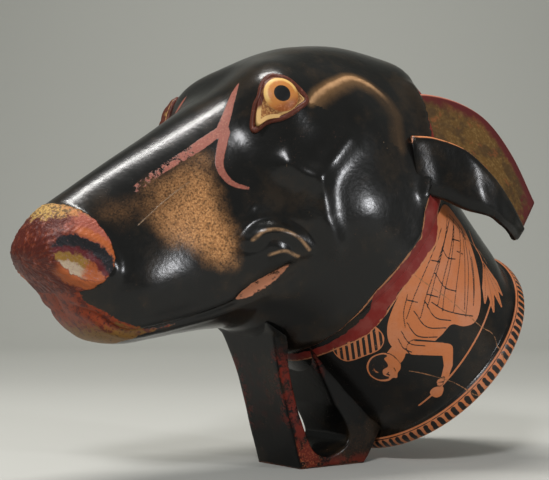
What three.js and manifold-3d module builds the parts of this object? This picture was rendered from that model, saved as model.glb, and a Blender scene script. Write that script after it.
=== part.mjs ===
// A drinking cup in the form of a hound's head, moulded and thrown in fired clay as one piece.
// The mouth opens at the back of the neck, tilted down and back. A strap handle runs from under
// the jaw to the neck near the mouth, and its flat lower bend is the foot that the cup stands on.
// Millimetres, +Z up. The origin is the centre of the foot, the nose points along -X.

import * as THREE from "three";
import { mergeVertices } from "three/addons/utils/BufferGeometryUtils.js";
import Module from "manifold-3d";

// Mouth and neck
const mouthRadius = 55; // outside of the lip
const mouthTilt = 39.6; // degrees that the mouth looks down from level
const lipBand = 5.5; // height of the band round the mouth
const neckRadius = 51.5;
const neckLength = 67;
const napeSwell = 8.6; // how far the back of the neck spreads towards the head
const neckWall = 6;

// Head
const headLength = 150; // from the neck's end to the tip of the nose
const headWall = 4.2;
const noseThickness = 10; // solid clay between the hollow and the tip of the nose
const earThickness = 3.4;
const eyeLength = 25;
const eyeHeight = 16.5;
const lidWidth = 2.6;
const lidRise = 2.34; // half of the lid's height
const lidLift = 1; // of the lid's middle above the eye's dome
const nostrilLength = 12;
const nostrilDepth = 5;

// Handle and foot
const footLength = 34;
const strapWidth = 30.6;
const strapFlare = 11; // how much wider the strap is where it meets the jaw
const flareStart = 0.58; // share of the jaw's height above which the strap widens
const strapThickness = 5.2;
const footThickness = 4.5;
const mouthClearance = 3.6; // of the lip above the surface that the foot stands on
const mouthGap = 13.3; // from the foot's back end to the lip's lowest point

const seamBlend = 8; // length on each side of the neck's end over which the wall changes

// Mesh pitch
const ringPitch = 4.8;
const pointsRound = 46;
const innerRingPitch = 9.5;
const innerPointsRound = 28;

const tilt = THREE.MathUtils.degToRad(mouthTilt);
const mouthAxis = new THREE.Vector3(Math.cos(tilt), 0, -Math.sin(tilt));
const mouthUp = new THREE.Vector3(Math.sin(tilt), 0, Math.cos(tilt));
const mouthCentre = new THREE.Vector3(
  footLength / 2 + mouthGap + mouthRadius * Math.sin(tilt),
  0,
  mouthRadius * Math.cos(tilt) + mouthClearance,
);
const neckEnd = mouthCentre.clone().addScaledVector(mouthAxis, -neckLength);

// A place on the head, in hundredths of its length from the neck's end. The head's form, relief
// and ears are given in these shares, so that they keep their pose at any length.
const headUnit = headLength / 100;
const headPoint = (x, y, z) =>
  new THREE.Vector3(x, y, z).multiplyScalar(headUnit).add(neckEnd);

// A station is one section of the body: its top and bottom on the middle plane, its half width,
// the share of its height at which it is widest, and how square its upper and lower halves are.
function neckStation(depth, radius, swell = 0) {
  const centre = mouthCentre.clone().addScaledVector(mouthAxis, -depth);
  const top = centre.clone().addScaledVector(mouthUp, radius + swell);
  const bottom = centre.clone().addScaledVector(mouthUp, -radius);
  return [top.x, top.z, bottom.x, bottom.z, radius, 0.5, 2, 2];
}

function headStation(topX, topZ, bottomX, bottomZ, halfWidth, widest, upper, lower) {
  const top = headPoint(topX, 0, topZ);
  const bottom = headPoint(bottomX, 0, bottomZ);
  return [top.x, top.z, bottom.x, bottom.z, halfWidth * headUnit, widest, upper, lower];
}

const lipStations = [
  neckStation(0, mouthRadius - 0.6),
  neckStation(lipBand * 0.25, mouthRadius),
  neckStation(lipBand, mouthRadius - 0.6),
];
const neckStations = [
  neckStation(lipBand + 1.6, neckRadius + 1),
  neckStation(neckLength * 0.3, neckRadius + 0.4, napeSwell * 0.2),
  neckStation(neckLength * 0.6, neckRadius, napeSwell * 0.52),
  neckStation(neckLength * 0.87, neckRadius - 0.2, napeSwell * 0.84),
  neckStation(neckLength - 1, neckRadius - 0.4, napeSwell),
];
// The nape starts on the neck's own edge, whatever the neck's radius is.
const napeHalfWidth = neckRadius / headUnit;
const headStations = [
  headStation(28.5, 38, -22.8, -27.2, napeHalfWidth, 0.47, 2.1, 2),
  headStation(22.5, 50.5, -24.2, -26.6, 34, 0.45, 2.2, 2.1),
  headStation(11, 58, -26.5, -25, 33.6, 0.43, 2.2, 2.1),
  headStation(-5.5, 60, -31, -23, 32.6, 0.42, 2.3, 2.1),
  headStation(-21.5, 58, -35.5, -21.5, 31, 0.43, 2.4, 2.1),
  headStation(-35, 52.5, -40, -20.5, 28, 0.46, 2.4, 2.1), // brow
  headStation(-48.5, 41, -47, -20.8, 22.6, 0.45, 2.2, 2.3), // stop
  headStation(-62.5, 31, -56.5, -21.8, 18.4, 0.42, 2.1, 2.5),
  headStation(-75, 22.7, -65.5, -23.1, 16, 0.38, 2.1, 2.6), // muzzle
  headStation(-85.5, 15.4, -73.5, -24.1, 14.6, 0.36, 2.1, 2.6),
  headStation(-92.5, 10.2, -80, -23.2, 13, 0.4, 2.1, 2.5),
  headStation(-96, 6.4, -85.8, -18.2, 11.4, 0.48, 2.1, 2.3), // nose
  headStation(-98.2, 2.3, -90.2, -11, 9.6, 0.5, 2.1, 2.1),
  headStation(-99.2, -1.2, -95.2, -6.6, 4.9, 0.5, 2, 2),
  headStation(-98.6, -2.6, -98.2, -3.8, 0.7, 0.5, 2, 2),
];

// Distances along a row of stations, as the mean step of their tops, bottoms and middles.
function stationDistances(stations) {
  const distances = [0];
  for (let i = 1; i < stations.length; i += 1) {
    const step = stations[i].map((value, k) => value - stations[i - 1][k]);
    const top = Math.hypot(step[0], step[1]);
    const bottom = Math.hypot(step[2], step[3]);
    const middle = Math.hypot(step[0] + step[2], step[1] + step[3]) / 2;
    distances.push(distances[i - 1] + (top + bottom + middle) / 3);
  }
  return distances;
}

// The slope at one end of a curve through points, held so that the curve doesn't overshoot.
function endSlope(step0, step1, slope0, slope1) {
  const slope = ((2 * step0 + step1) * slope0 - step0 * slope1) / (step0 + step1);
  if (slope * slope0 <= 0) return 0;
  if (slope0 * slope1 <= 0 && Math.abs(slope) > 3 * Math.abs(slope0)) return 3 * slope0;
  return slope;
}

// A smooth curve through values at given distances that never overshoots them.
function smoothThrough(distances, values) {
  const last = values.length - 1;
  const steps = distances.slice(1).map((d, i) => d - distances[i]);
  const rises = values.slice(1).map((v, i) => (v - values[i]) / steps[i]);
  const slopes = values.map((_, i) => {
    if (i === 0) return endSlope(steps[0], steps[1], rises[0], rises[1]);
    if (i === last) {
      return endSlope(steps[last - 1], steps[last - 2], rises[last - 1], rises[last - 2]);
    }
    if (rises[i - 1] * rises[i] <= 0) return 0;
    const before = 2 * steps[i] + steps[i - 1];
    const after = steps[i] + 2 * steps[i - 1];
    return (before + after) / (before / rises[i - 1] + after / rises[i]);
  });
  return (distance) => {
    let i = 0;
    while (i < last - 1 && distance > distances[i + 1]) i += 1;
    const t = (distance - distances[i]) / steps[i];
    const keep = (1 + 2 * t) * (1 - t) ** 2;
    const leave = t * (1 - t) ** 2;
    const arrive = t * t * (t - 1);
    const reach = t * t * (3 - 2 * t);
    return (
      keep * values[i] +
      leave * steps[i] * slopes[i] +
      reach * values[i + 1] +
      arrive * steps[i] * slopes[i + 1]
    );
  };
}

// A body lofted through stations: at(distance, angle) is a point on it, angle 0 being the top.
function loftThrough(stations) {
  const distances = stationDistances(stations);
  const curves = stations[0].map((_, k) =>
    smoothThrough(distances, stations.map((station) => station[k])),
  );
  function at(distance, angle) {
    const [topX, topZ, bottomX, bottomZ, halfWidth, widest, upper, lower] = curves.map(
      (curve) => curve(distance),
    );
    const c = Math.cos(angle);
    const s = Math.sin(angle);
    const power = 2 / (c > 0 ? upper : lower);
    const height = Math.abs(c) ** power;
    const middleX = bottomX + (topX - bottomX) * widest;
    const middleZ = bottomZ + (topZ - bottomZ) * widest;
    const endX = c > 0 ? topX : bottomX;
    const endZ = c > 0 ? topZ : bottomZ;
    return new THREE.Vector3(
      middleX + (endX - middleX) * height,
      -halfWidth * Math.sign(s) * Math.abs(s) ** power,
      middleZ + (endZ - middleZ) * height,
    );
  }
  function normalAt(distance, angle) {
    const small = 0.01;
    const length = distances[distances.length - 1];
    const ahead = at(Math.min(distance + small, length), angle);
    const behind = at(Math.max(distance - small, 0), angle);
    const left = at(distance, angle + small);
    const right = at(distance, angle - small);
    return ahead.sub(behind).cross(left.sub(right)).normalize();
  }
  return { at, normalAt, distances };
}

// Relief, symmetrical about the middle plane: swellings and hollows are round, ridges and
// grooves follow a line. Places are head points, reach and rise are in the same hundredths.
const swellings = [
  { at: [-39.5, -24, 40.2], reach: 10, rise: 4 }, // eye
  { at: [-37.2, -18, 47.5], reach: 9, rise: 2 }, // brow
  { at: [-45.2, 0, 50.2], reach: 8.7, rise: -1.4 }, // furrow between the brows
  { at: [-15.9, -30, 35.5], reach: 10.7, rise: 1.5 }, // temple
  { at: [-26.5, -27.3, 38.2], reach: 5.3, rise: -1.1 }, // hollow behind the eye
  { at: [-15.9, -33.3, 10.9], reach: 12.7, rise: 2 }, // jaw muscle
  { at: [-42.5, -25.3, 15.5], reach: 8, rise: -1.4 }, // hollow under the eye
  { at: [-38.5, -29.3, 7.5], reach: 6, rise: -0.9 }, // hollow of the cheek
  { at: [-41.9, -25.3, 2.2], reach: 6, rise: 2.4 }, // fold of the lip
  { at: [-72.5, -16, -9.8], reach: 10, rise: 1.7 }, // hanging lip
  { at: [-57.2, -18, 7.5], reach: 10.7, rise: -0.8 }, // side of the muzzle
  { at: [-90.5, -7, -0.5], reach: 8.5, rise: 1.2 }, // nose
];
const ridges = [
  { along: [[-37.9, -27.3, 21.5], [-31.9, -30.7, 18.2], [-30.5, -31.3, 8.2], [-27.2, -31.3, 1.5]],
    reach: 3.4, rise: 1.6 }, // cheekbone
  { along: [[-31.9, -30.7, 18.2], [-22.5, -32, 28.9]], reach: 3.4, rise: 1.2 },
  { along: [[-35.9, -26.7, -5.1], [-40.5, -22, -8.5], [-45.2, -18.7, -12.5]],
    reach: 2.6, rise: -1.8 }, // corner of the mouth
  { along: [[8.1, -24.7, 47.5], [8.8, -29.3, 36.9], [7.1, -32.3, 28.2], [2.8, -34.7, 15.5]],
    reach: 2.5, rise: 1.5 }, // back edge of the head
];
for (const swelling of swellings) swelling.centre = headPoint(...swelling.at);
for (const ridge of ridges) {
  ridge.points = ridge.along.map((place) => headPoint(...place));
}

function distanceToPath(point, path) {
  const nearest = new THREE.Vector3();
  return Math.min(
    ...path.slice(1).map((end, i) => {
      new THREE.Line3(path[i], end).closestPointToPoint(point, true, nearest);
      return nearest.distanceTo(point);
    }),
  );
}

function reliefAt(point) {
  const nearSide = new THREE.Vector3(point.x, -Math.abs(point.y), point.z);
  const fade = (distance, reach) => Math.exp(-((distance / (reach * headUnit)) ** 2));
  let rise = 0;
  for (const { centre, reach, rise: height } of swellings) {
    rise += height * fade(centre.distanceTo(nearSide), reach);
  }
  for (const { points, reach, rise: height } of ridges) {
    rise += height * fade(distanceToPath(nearSide, points), reach);
  }
  return rise * headUnit;
}

// Distances at which rings are cut: every station, and even steps between two stations.
function ringDistances(distances, pitch, from, to) {
  const rings = [];
  for (let i = from; i < to; i += 1) {
    const steps = Math.max(1, Math.round((distances[i + 1] - distances[i]) / pitch));
    for (let k = 0; k < steps; k += 1) {
      rings.push(distances[i] + ((distances[i + 1] - distances[i]) * k) / steps);
    }
  }
  rings.push(distances[to]);
  return rings;
}

// A closed geometry from rings of points, each ring turning the same way, with a fan at each end.
function closedFromRings(rings) {
  const round = rings[0].length;
  const positions = rings.flat().flatMap((p) => [p.x, p.y, p.z]);
  const index = [];
  for (let i = 0; i + 1 < rings.length; i += 1) {
    for (let k = 0; k < round; k += 1) {
      const a = i * round + k;
      const b = i * round + ((k + 1) % round);
      index.push(a, a + round, b, b, a + round, b + round);
    }
  }
  [0, rings.length - 1].forEach((row, end) => {
    const centre = new THREE.Vector3();
    rings[row].forEach((p) => centre.addScaledVector(p, 1 / round));
    const hub = positions.length / 3;
    positions.push(centre.x, centre.y, centre.z);
    for (let k = 0; k < round; k += 1) {
      const a = row * round + k;
      const b = row * round + ((k + 1) % round);
      if (end === 0) index.push(hub, a, b);
      else index.push(hub, b, a);
    }
  });
  const geometry = new THREE.BufferGeometry();
  geometry.setAttribute("position", new THREE.Float32BufferAttribute(positions, 3));
  geometry.setIndex(index);
  return geometry;
}

const ringAngles = (count) => Array.from({ length: count }, (_, k) => (k / count) * 2 * Math.PI);

// The outside of neck and head as one body, closed across the mouth.
function makeOutside() {
  const loft = loftThrough([...lipStations, ...neckStations, ...headStations]);
  const cuts = ringDistances(loft.distances, ringPitch, 0, loft.distances.length - 1);
  const rings = cuts.map((distance) =>
    ringAngles(pointsRound).map((angle) => {
      const point = loft.at(distance, angle);
      return point.addScaledVector(loft.normalAt(distance, angle), reliefAt(point));
    }),
  );
  return closedFromRings(rings);
}

// The hollow: a wall's thickness inside the outside, out through the mouth, short of the nose.
// The thrown neck has a thicker wall than the moulded head, and one passes into the other.
function makeHollow() {
  const loft = loftThrough([...neckStations, ...headStations]);
  const tip = neckEnd.x - headLength + noseThickness;
  const reachesNose = (i) => loft.at(loft.distances[i], 0).x < tip;
  const last = loft.distances.findIndex((_, i) => reachesNose(i)) - 1;
  const cuts = ringDistances(loft.distances, innerRingPitch, 0, last);
  const seam = loft.distances[neckStations.length - 1];
  const rings = cuts.map((distance) => {
    const share = THREE.MathUtils.smoothstep(distance, seam - seamBlend, seam + seamBlend);
    const wall = THREE.MathUtils.lerp(neckWall, headWall, share);
    return ringAngles(innerPointsRound).map((angle) =>
      loft.at(distance, angle).addScaledVector(loft.normalAt(distance, angle), -wall),
    );
  });
  const outward = mouthAxis.clone().multiplyScalar(lipBand * 2);
  rings.unshift(rings[0].map((point) => point.clone().add(outward)));
  return closedFromRings(rings);
}

// Ear: a folded leaf between an inner edge high on the skull and an outer edge by the cheek,
// with its fold hanging lowest. Each row gives a head point on each of the three.
const earRows = [
  { inner: [4, -23, 42], fold: [1.5, -31.5, 18], outer: [0.1, -32.5, 30.2] },
  { inner: [12, -24, 44], fold: [9.5, -34, 16.2], outer: [6.8, -34.6, 29.9] },
  { inner: [24.8, -24.7, 42.9], fold: [17.5, -37.3, 13.2], outer: [14.8, -38, 26.9] },
  { inner: [35, -26.2, 38.4], fold: [23.5, -38.7, 12.4], outer: [22.8, -40, 20.2] },
  { inner: [42, -29.4, 28.5], fold: [29.5, -38.6, 9.9], outer: [29.5, -39.8, 13.7] },
  { inner: [46.8, -33.3, 14.9], fold: [36.8, -36.7, 6], outer: [37.5, -37.3, 7.2] },
];
const earStepsLong = 9;
const earStepsAcross = 7;

function makeEar() {
  const edge = (name) =>
    new THREE.CatmullRomCurve3(earRows.map((row) => headPoint(...row[name])));
  const inner = edge("inner");
  const fold = edge("fold");
  const outer = edge("outer");
  const leafAt = (along, across) => {
    const a = inner.getPoint(along);
    const c = outer.getPoint(along);
    const pull = fold.getPoint(along).multiplyScalar(2).addScaledVector(a, -0.5);
    const b = pull.addScaledVector(c, -0.5);
    return new THREE.QuadraticBezierCurve3(a, b, c).getPoint(across);
  };
  const small = 1e-3;
  const skinAt = (along, across, offset) => {
    const along0 = Math.max(0, along - small);
    const along1 = Math.min(1, along + small);
    const across0 = Math.max(0, across - small);
    const across1 = Math.min(1, across + small);
    const lengthwise = leafAt(along1, across).sub(leafAt(along0, across));
    const crosswise = leafAt(along, across1).sub(leafAt(along, across0));
    const normal = lengthwise.cross(crosswise).normalize();
    return leafAt(along, across).addScaledVector(normal, offset);
  };
  const rings = [];
  for (let i = 0; i <= earStepsLong; i += 1) {
    const ring = [];
    for (const face of [1, -1]) {
      for (let k = 0; k <= earStepsAcross; k += 1) {
        const across = face > 0 ? k / earStepsAcross : 1 - k / earStepsAcross;
        ring.push(skinAt(i / earStepsLong, across, (face * earThickness) / 2));
      }
    }
    rings.push(ring);
  }
  return closedFromRings(rings);
}

// Eye: a bulging ball between lids that form a raised almond rim.
const eyePlace = [-39.2, -25.6, 39.7];
const eyeForward = new THREE.Vector3(-0.885, 0.19, -0.42).normalize(); // towards the nose
const eyeOutward = new THREE.Vector3(-0.2, -0.93, 0.3);
eyeOutward.addScaledVector(eyeForward, -eyeOutward.dot(eyeForward)).normalize();
const eyeDownward = new THREE.Vector3().crossVectors(eyeOutward, eyeForward);
const eyeCorner = 1.6; // 2 gives an oval, less gives pointed corners
const lidSteps = 24;
const lidSides = 5;

function eyePoint(forward, downward, outward) {
  const dome = (forward ** 2 + downward ** 2) / (2 * eyeLength);
  return headPoint(...eyePlace)
    .addScaledVector(eyeForward, forward)
    .addScaledVector(eyeDownward, downward)
    .addScaledVector(eyeOutward, outward - dome);
}

function makeLids() {
  const outlineAt = (turn) => {
    const forward = Math.sign(Math.cos(turn)) * Math.abs(Math.cos(turn)) ** (2 / eyeCorner);
    const downward = Math.sign(Math.sin(turn)) * Math.abs(Math.sin(turn)) ** (2 / eyeCorner);
    return [(forward * eyeLength) / 2, (downward * eyeHeight) / 2];
  };
  const rings = [];
  for (let i = 0; i < lidSteps; i += 1) {
    const turn = (i / lidSteps) * 2 * Math.PI;
    const [forward, downward] = outlineAt(turn);
    const away = new THREE.Vector2(Math.cos(turn), Math.sin(turn));
    rings.push(
      ringAngles(lidSides).map((angle) => {
        const out = (Math.cos(angle) * lidWidth) / 2;
        const proud = Math.sin(angle) * lidRise + lidLift;
        return eyePoint(forward + away.x * out, downward + away.y * out, proud);
      }),
    );
  }
  const positions = rings.flat().flatMap((p) => [p.x, p.y, p.z]);
  const index = [];
  for (let i = 0; i < lidSteps; i += 1) {
    for (let k = 0; k < lidSides; k += 1) {
      const a = i * lidSides + k;
      const b = i * lidSides + ((k + 1) % lidSides);
      const c = ((i + 1) % lidSteps) * lidSides + k;
      const d = ((i + 1) % lidSteps) * lidSides + ((k + 1) % lidSides);
      index.push(a, c, b, b, c, d);
    }
  }
  const geometry = new THREE.BufferGeometry();
  geometry.setAttribute("position", new THREE.Float32BufferAttribute(positions, 3));
  geometry.setIndex(index);
  return geometry;
}

// An ellipsoid whose axes follow three directions.
function makeEllipsoid(centre, forward, downward, outward, radii) {
  const geometry = new THREE.SphereGeometry(1, 14, 8);
  const frame = new THREE.Matrix4().makeBasis(
    forward.clone().multiplyScalar(radii[0]),
    downward.clone().multiplyScalar(radii[1]),
    outward.clone().multiplyScalar(radii[2]),
  );
  return geometry.applyMatrix4(frame.setPosition(centre));
}

function makeEyeball() {
  const radii = [eyeLength * 0.46, eyeHeight * 0.5, eyeHeight * 0.22];
  return makeEllipsoid(eyePoint(0.5, 0, 0.4), eyeForward, eyeDownward, eyeOutward, radii);
}

// The nostril is a slanted oval pit in the side of the nose.
const nostrilPlace = [-90, -12.6, -2.2];

function makeNostril() {
  const forward = new THREE.Vector3(-0.75, 0, 0.45).normalize();
  const outward = new THREE.Vector3(-0.35, -0.93, 0);
  outward.addScaledVector(forward, -outward.dot(forward)).normalize();
  const downward = new THREE.Vector3().crossVectors(outward, forward);
  const radii = [nostrilLength / 2, nostrilLength * 0.3, nostrilDepth];
  return makeEllipsoid(headPoint(...nostrilPlace), forward, downward, outward, radii);
}

// Handle: the strap comes down from the jaw, bends into the flat foot and turns up into the neck.
// Its side view is one closed shape with the finger gap as a hole; inside the head and the neck
// it runs on, and the hollow is cut out of it with them.
const strapTop = [-32.5, 0, -20.5]; // where the strap's front leaves the jaw
const frontCurve = { x: [0.42, 0.61], z: [0.655, 0.38] }; // control points, in shares of its run and height
const gapCurve = { x: [0.42, 0.57], z: [0.655, 0.4] };

function makeHandle() {
  const jaw = headPoint(...strapTop);
  const front = -footLength / 2;
  const back = footLength / 2;
  const run = front - jaw.x;
  const throatAt = (depth, proud) =>
    mouthCentre
      .clone()
      .addScaledVector(mouthAxis, -depth)
      .addScaledVector(mouthUp, -(neckRadius + proud));
  const side = new THREE.Shape();
  side.moveTo(jaw.x, jaw.z + headWall * 3);
  side.lineTo(jaw.x, jaw.z);
  side.bezierCurveTo(
    jaw.x + frontCurve.x[0] * run, frontCurve.z[0] * jaw.z,
    jaw.x + frontCurve.x[1] * run, frontCurve.z[1] * jaw.z,
    front, 0,
  );
  side.lineTo(back, 0);
  const root = throatAt(lipBand + 4, -neckWall / 2);
  side.quadraticCurveTo(back + (root.x - back) * 0.3, root.z * 0.2, root.x, root.z);
  const inNeck = throatAt(neckLength * 0.4, -neckRadius * 0.4);
  side.lineTo(inNeck.x, inNeck.z);
  side.lineTo(neckEnd.x + (jaw.x - neckEnd.x) * 0.5, jaw.z + headWall * 4);
  side.closePath();

  const inside = front + strapThickness;
  const rise = throatAt(neckLength * 0.47, strapThickness * 1.6);
  const throat = throatAt(neckLength * 0.82, -neckWall / 4);
  const gap = new THREE.Path();
  gap.moveTo(jaw.x + strapThickness * 1.15, jaw.z + headWall * 2);
  gap.lineTo(jaw.x + strapThickness * 1.15, jaw.z);
  gap.bezierCurveTo(
    jaw.x + strapThickness + gapCurve.x[0] * run, gapCurve.z[0] * jaw.z,
    jaw.x + strapThickness + gapCurve.x[1] * run, gapCurve.z[1] * jaw.z,
    inside, footThickness * 2,
  );
  gap.quadraticCurveTo(inside + 3, footThickness, inside + footLength * 0.26, footThickness);
  gap.quadraticCurveTo(rise.x + 5, footThickness + 2, rise.x + 5.5, rise.z * 0.62);
  gap.quadraticCurveTo(rise.x + 4, rise.z * 0.9, rise.x - 2, rise.z + 5);
  gap.lineTo(throat.x, throat.z);
  gap.lineTo(throat.x - neckWall, throat.z + headWall * 2.5);
  gap.closePath();
  side.holes.push(gap);

  const geometry = new THREE.ExtrudeGeometry(side, {
    depth: 1,
    bevelEnabled: false,
    curveSegments: 7,
  });
  geometry.rotateX(Math.PI / 2); // drawn upright; its depth now runs along -Y
  geometry.translate(0, 0.5, 0);
  const place = geometry.attributes.position;
  for (let i = 0; i < place.count; i += 1) {
    const flareHeight = place.getZ(i) / jaw.z - flareStart;
    const flare = THREE.MathUtils.clamp(flareHeight, 0, 1 - flareStart) / (1 - flareStart);
    place.setY(i, place.getY(i) * (strapWidth + strapFlare * flare ** 2));
  }
  return geometry;
}

const wasm = await Module();
wasm.setup();

function solidFrom(geometry) {
  const bare = new THREE.BufferGeometry();
  bare.setAttribute("position", geometry.getAttribute("position"));
  if (geometry.index) bare.setIndex(geometry.index);
  const merged = mergeVertices(bare, 1e-4);
  return new wasm.Manifold(
    new wasm.Mesh({
      numProp: 3,
      vertProperties: new Float32Array(merged.attributes.position.array),
      triVerts: new Uint32Array(merged.index.array),
    }),
  );
}

// The same piece on the other side of the middle plane, its faces turned to point out again.
function mirrored(geometry) {
  const other = geometry.clone().scale(1, -1, 1);
  const index = Array.from(other.index.array);
  for (let i = 0; i < index.length; i += 3) {
    [index[i], index[i + 1]] = [index[i + 1], index[i]];
  }
  return other.setIndex(index);
}

function geometryFrom(solid) {
  const mesh = solid.getMesh();
  const geometry = new THREE.BufferGeometry();
  geometry.setAttribute("position", new THREE.Float32BufferAttribute(mesh.vertProperties, 3));
  geometry.setIndex(new THREE.Uint32BufferAttribute(mesh.triVerts, 1));
  geometry.computeVertexNormals();
  return geometry;
}

function makeVessel() {
  const onBothSides = (geometry) => solidFrom(geometry).add(solidFrom(mirrored(geometry)));
  return geometryFrom(
    solidFrom(makeOutside())
      .add(solidFrom(makeHandle()))
      .add(onBothSides(makeEar()))
      .add(onBothSides(makeEyeball()))
      .add(onBothSides(makeLids()))
      .subtract(onBothSides(makeNostril()))
      .subtract(solidFrom(makeHollow())),
  );
}

const glazedClay = new THREE.MeshStandardMaterial({
  color: 0x17130f,
  roughness: 0.28,
  metalness: 0,
});

const rhyton = new THREE.Group();
const vessel = new THREE.Mesh(makeVessel(), glazedClay);
vessel.name = "hound_head_vessel";
rhyton.add(vessel);

export default rhyton;
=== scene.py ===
import math

import bpy
import numpy as np
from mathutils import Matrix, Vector


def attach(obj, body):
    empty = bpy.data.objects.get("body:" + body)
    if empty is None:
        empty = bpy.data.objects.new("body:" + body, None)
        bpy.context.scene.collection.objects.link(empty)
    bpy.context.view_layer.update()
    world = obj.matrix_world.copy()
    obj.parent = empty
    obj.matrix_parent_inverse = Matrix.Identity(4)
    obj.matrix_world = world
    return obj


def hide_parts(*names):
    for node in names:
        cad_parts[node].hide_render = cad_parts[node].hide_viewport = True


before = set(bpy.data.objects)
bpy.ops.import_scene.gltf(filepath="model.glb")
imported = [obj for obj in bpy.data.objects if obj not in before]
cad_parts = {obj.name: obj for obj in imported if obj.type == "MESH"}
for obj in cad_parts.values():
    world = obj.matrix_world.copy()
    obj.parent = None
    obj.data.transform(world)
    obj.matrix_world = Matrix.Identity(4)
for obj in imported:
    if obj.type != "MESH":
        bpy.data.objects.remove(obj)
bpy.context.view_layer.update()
cupNode = "hound_head_vessel"
metresPerMm = 0.001
print("frame loaded")

# The photograph's viewing angle, and the image it is framed for
cameraSettings = {
    "place": (-0.3237, -0.4035, 0.0693),
    "direction": (0.6011, 0.7976, 0.0499),
    "focalPixels": 1200,
    "imageWidth": 549,
    "sensorWidth": 36.0,
}


def makeCamera(settings):
    data = bpy.data.cameras.new("camera")
    data.sensor_width = settings["sensorWidth"]
    data.lens = settings["focalPixels"] / settings["imageWidth"] * settings["sensorWidth"]
    data.clip_start = 0.01
    camera = bpy.data.objects.new("camera", data)
    bpy.context.scene.collection.objects.link(camera)
    camera.location = settings["place"]
    camera.rotation_euler = Vector(settings["direction"]).to_track_quat("-Z", "Y").to_euler()
    bpy.context.scene.camera = camera


makeCamera(cameraSettings)

# Sizes of the cup, in millimetres
cupSizes = {
    "mouthRadius": 55.0,
    "mouthTilt": 39.6,  # degrees that the mouth looks down from level
    "lipBand": 5.5,
    "neckRadius": 51.5,
    "neckLength": 67.0,
    "napeSwell": 8.6,
    "neckWall": 6.0,
    "headLength": 150.0,
    "headWall": 4.2,
    "noseThickness": 10.0,
    "footLength": 34.0,
    "mouthClearance": 3.6,
    "mouthGap": 13.3,
}
tilt = math.radians(cupSizes["mouthTilt"])
mouthAxis = np.array([math.cos(tilt), 0, -math.sin(tilt)])
mouthUp = np.array([math.sin(tilt), 0, math.cos(tilt)])
mouthCentre = np.array([
    cupSizes["footLength"] / 2 + cupSizes["mouthGap"] + cupSizes["mouthRadius"] * math.sin(tilt),
    0,
    cupSizes["mouthRadius"] * math.cos(tilt) + cupSizes["mouthClearance"],
])
neckEnd = mouthCentre - mouthAxis * cupSizes["neckLength"]
headUnit = cupSizes["headLength"] / 100


def headPoint(place):
    # a place in hundredths of the head's length from the neck's end
    return np.array(place, float) * headUnit + neckEnd


def neckStation(depth, radius, swell=0.0):
    centre = mouthCentre - mouthAxis * depth
    top = centre + mouthUp * (radius + swell)
    bottom = centre - mouthUp * radius
    return [top[0], top[2], bottom[0], bottom[2], radius, 0.5, 2, 2]


def headStation(topX, topZ, bottomX, bottomZ, halfWidth, widest, upper, lower):
    top = headPoint([topX, 0, topZ])
    bottom = headPoint([bottomX, 0, bottomZ])
    return [top[0], top[2], bottom[0], bottom[2], halfWidth * headUnit, widest, upper, lower]


def bodyStations():
    mouthRadius = cupSizes["mouthRadius"]
    neckRadius = cupSizes["neckRadius"]
    neckLength = cupSizes["neckLength"]
    lipBand = cupSizes["lipBand"]
    swell = cupSizes["napeSwell"]
    neck = [
        neckStation(0, mouthRadius - 0.6),
        neckStation(lipBand * 0.25, mouthRadius),
        neckStation(lipBand, mouthRadius - 0.6),
        neckStation(lipBand + 1.6, neckRadius + 1),
        neckStation(neckLength * 0.3, neckRadius + 0.4, swell * 0.2),
        neckStation(neckLength * 0.6, neckRadius, swell * 0.52),
        neckStation(neckLength * 0.87, neckRadius - 0.2, swell * 0.84),
        neckStation(neckLength - 1, neckRadius - 0.4, swell),
    ]
    head = [
        headStation(28.5, 38, -22.8, -27.2, neckRadius / headUnit, 0.47, 2.1, 2),
        headStation(22.5, 50.5, -24.2, -26.6, 34, 0.45, 2.2, 2.1),
        headStation(11, 58, -26.5, -25, 33.6, 0.43, 2.2, 2.1),
        headStation(-5.5, 60, -31, -23, 32.6, 0.42, 2.3, 2.1),
        headStation(-21.5, 58, -35.5, -21.5, 31, 0.43, 2.4, 2.1),
        headStation(-35, 52.5, -40, -20.5, 28, 0.46, 2.4, 2.1),
        headStation(-48.5, 41, -47, -20.8, 22.6, 0.45, 2.2, 2.3),
        headStation(-62.5, 31, -56.5, -21.8, 18.4, 0.42, 2.1, 2.5),
        headStation(-75, 22.7, -65.5, -23.1, 16, 0.38, 2.1, 2.6),
        headStation(-85.5, 15.4, -73.5, -24.1, 14.6, 0.36, 2.1, 2.6),
        headStation(-92.5, 10.2, -80, -23.2, 13, 0.4, 2.1, 2.5),
        headStation(-96, 6.4, -85.8, -18.2, 11.4, 0.48, 2.1, 2.3),
        headStation(-98.2, 2.3, -90.2, -11, 9.6, 0.5, 2.1, 2.1),
        headStation(-99.2, -1.2, -95.2, -6.6, 4.9, 0.5, 2, 2),
        headStation(-98.6, -2.6, -98.2, -3.8, 0.7, 0.5, 2, 2),
    ]
    return np.array(neck + head, float), len(neck)


def stationDistances(stations):
    steps = np.diff(stations[:, :4], axis=0)
    top = np.hypot(steps[:, 0], steps[:, 1])
    bottom = np.hypot(steps[:, 2], steps[:, 3])
    middle = np.hypot(steps[:, 0] + steps[:, 2], steps[:, 1] + steps[:, 3]) / 2
    return np.concatenate([[0], np.cumsum((top + bottom + middle) / 3)])


def endSlope(step0, step1, slope0, slope1):
    slope = ((2 * step0 + step1) * slope0 - step0 * slope1) / (step0 + step1)
    slope = np.where(slope * slope0 <= 0, 0, slope)
    steep = (slope0 * slope1 <= 0) & (np.abs(slope) > 3 * np.abs(slope0))
    return np.where(steep, 3 * slope0, slope)


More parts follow.
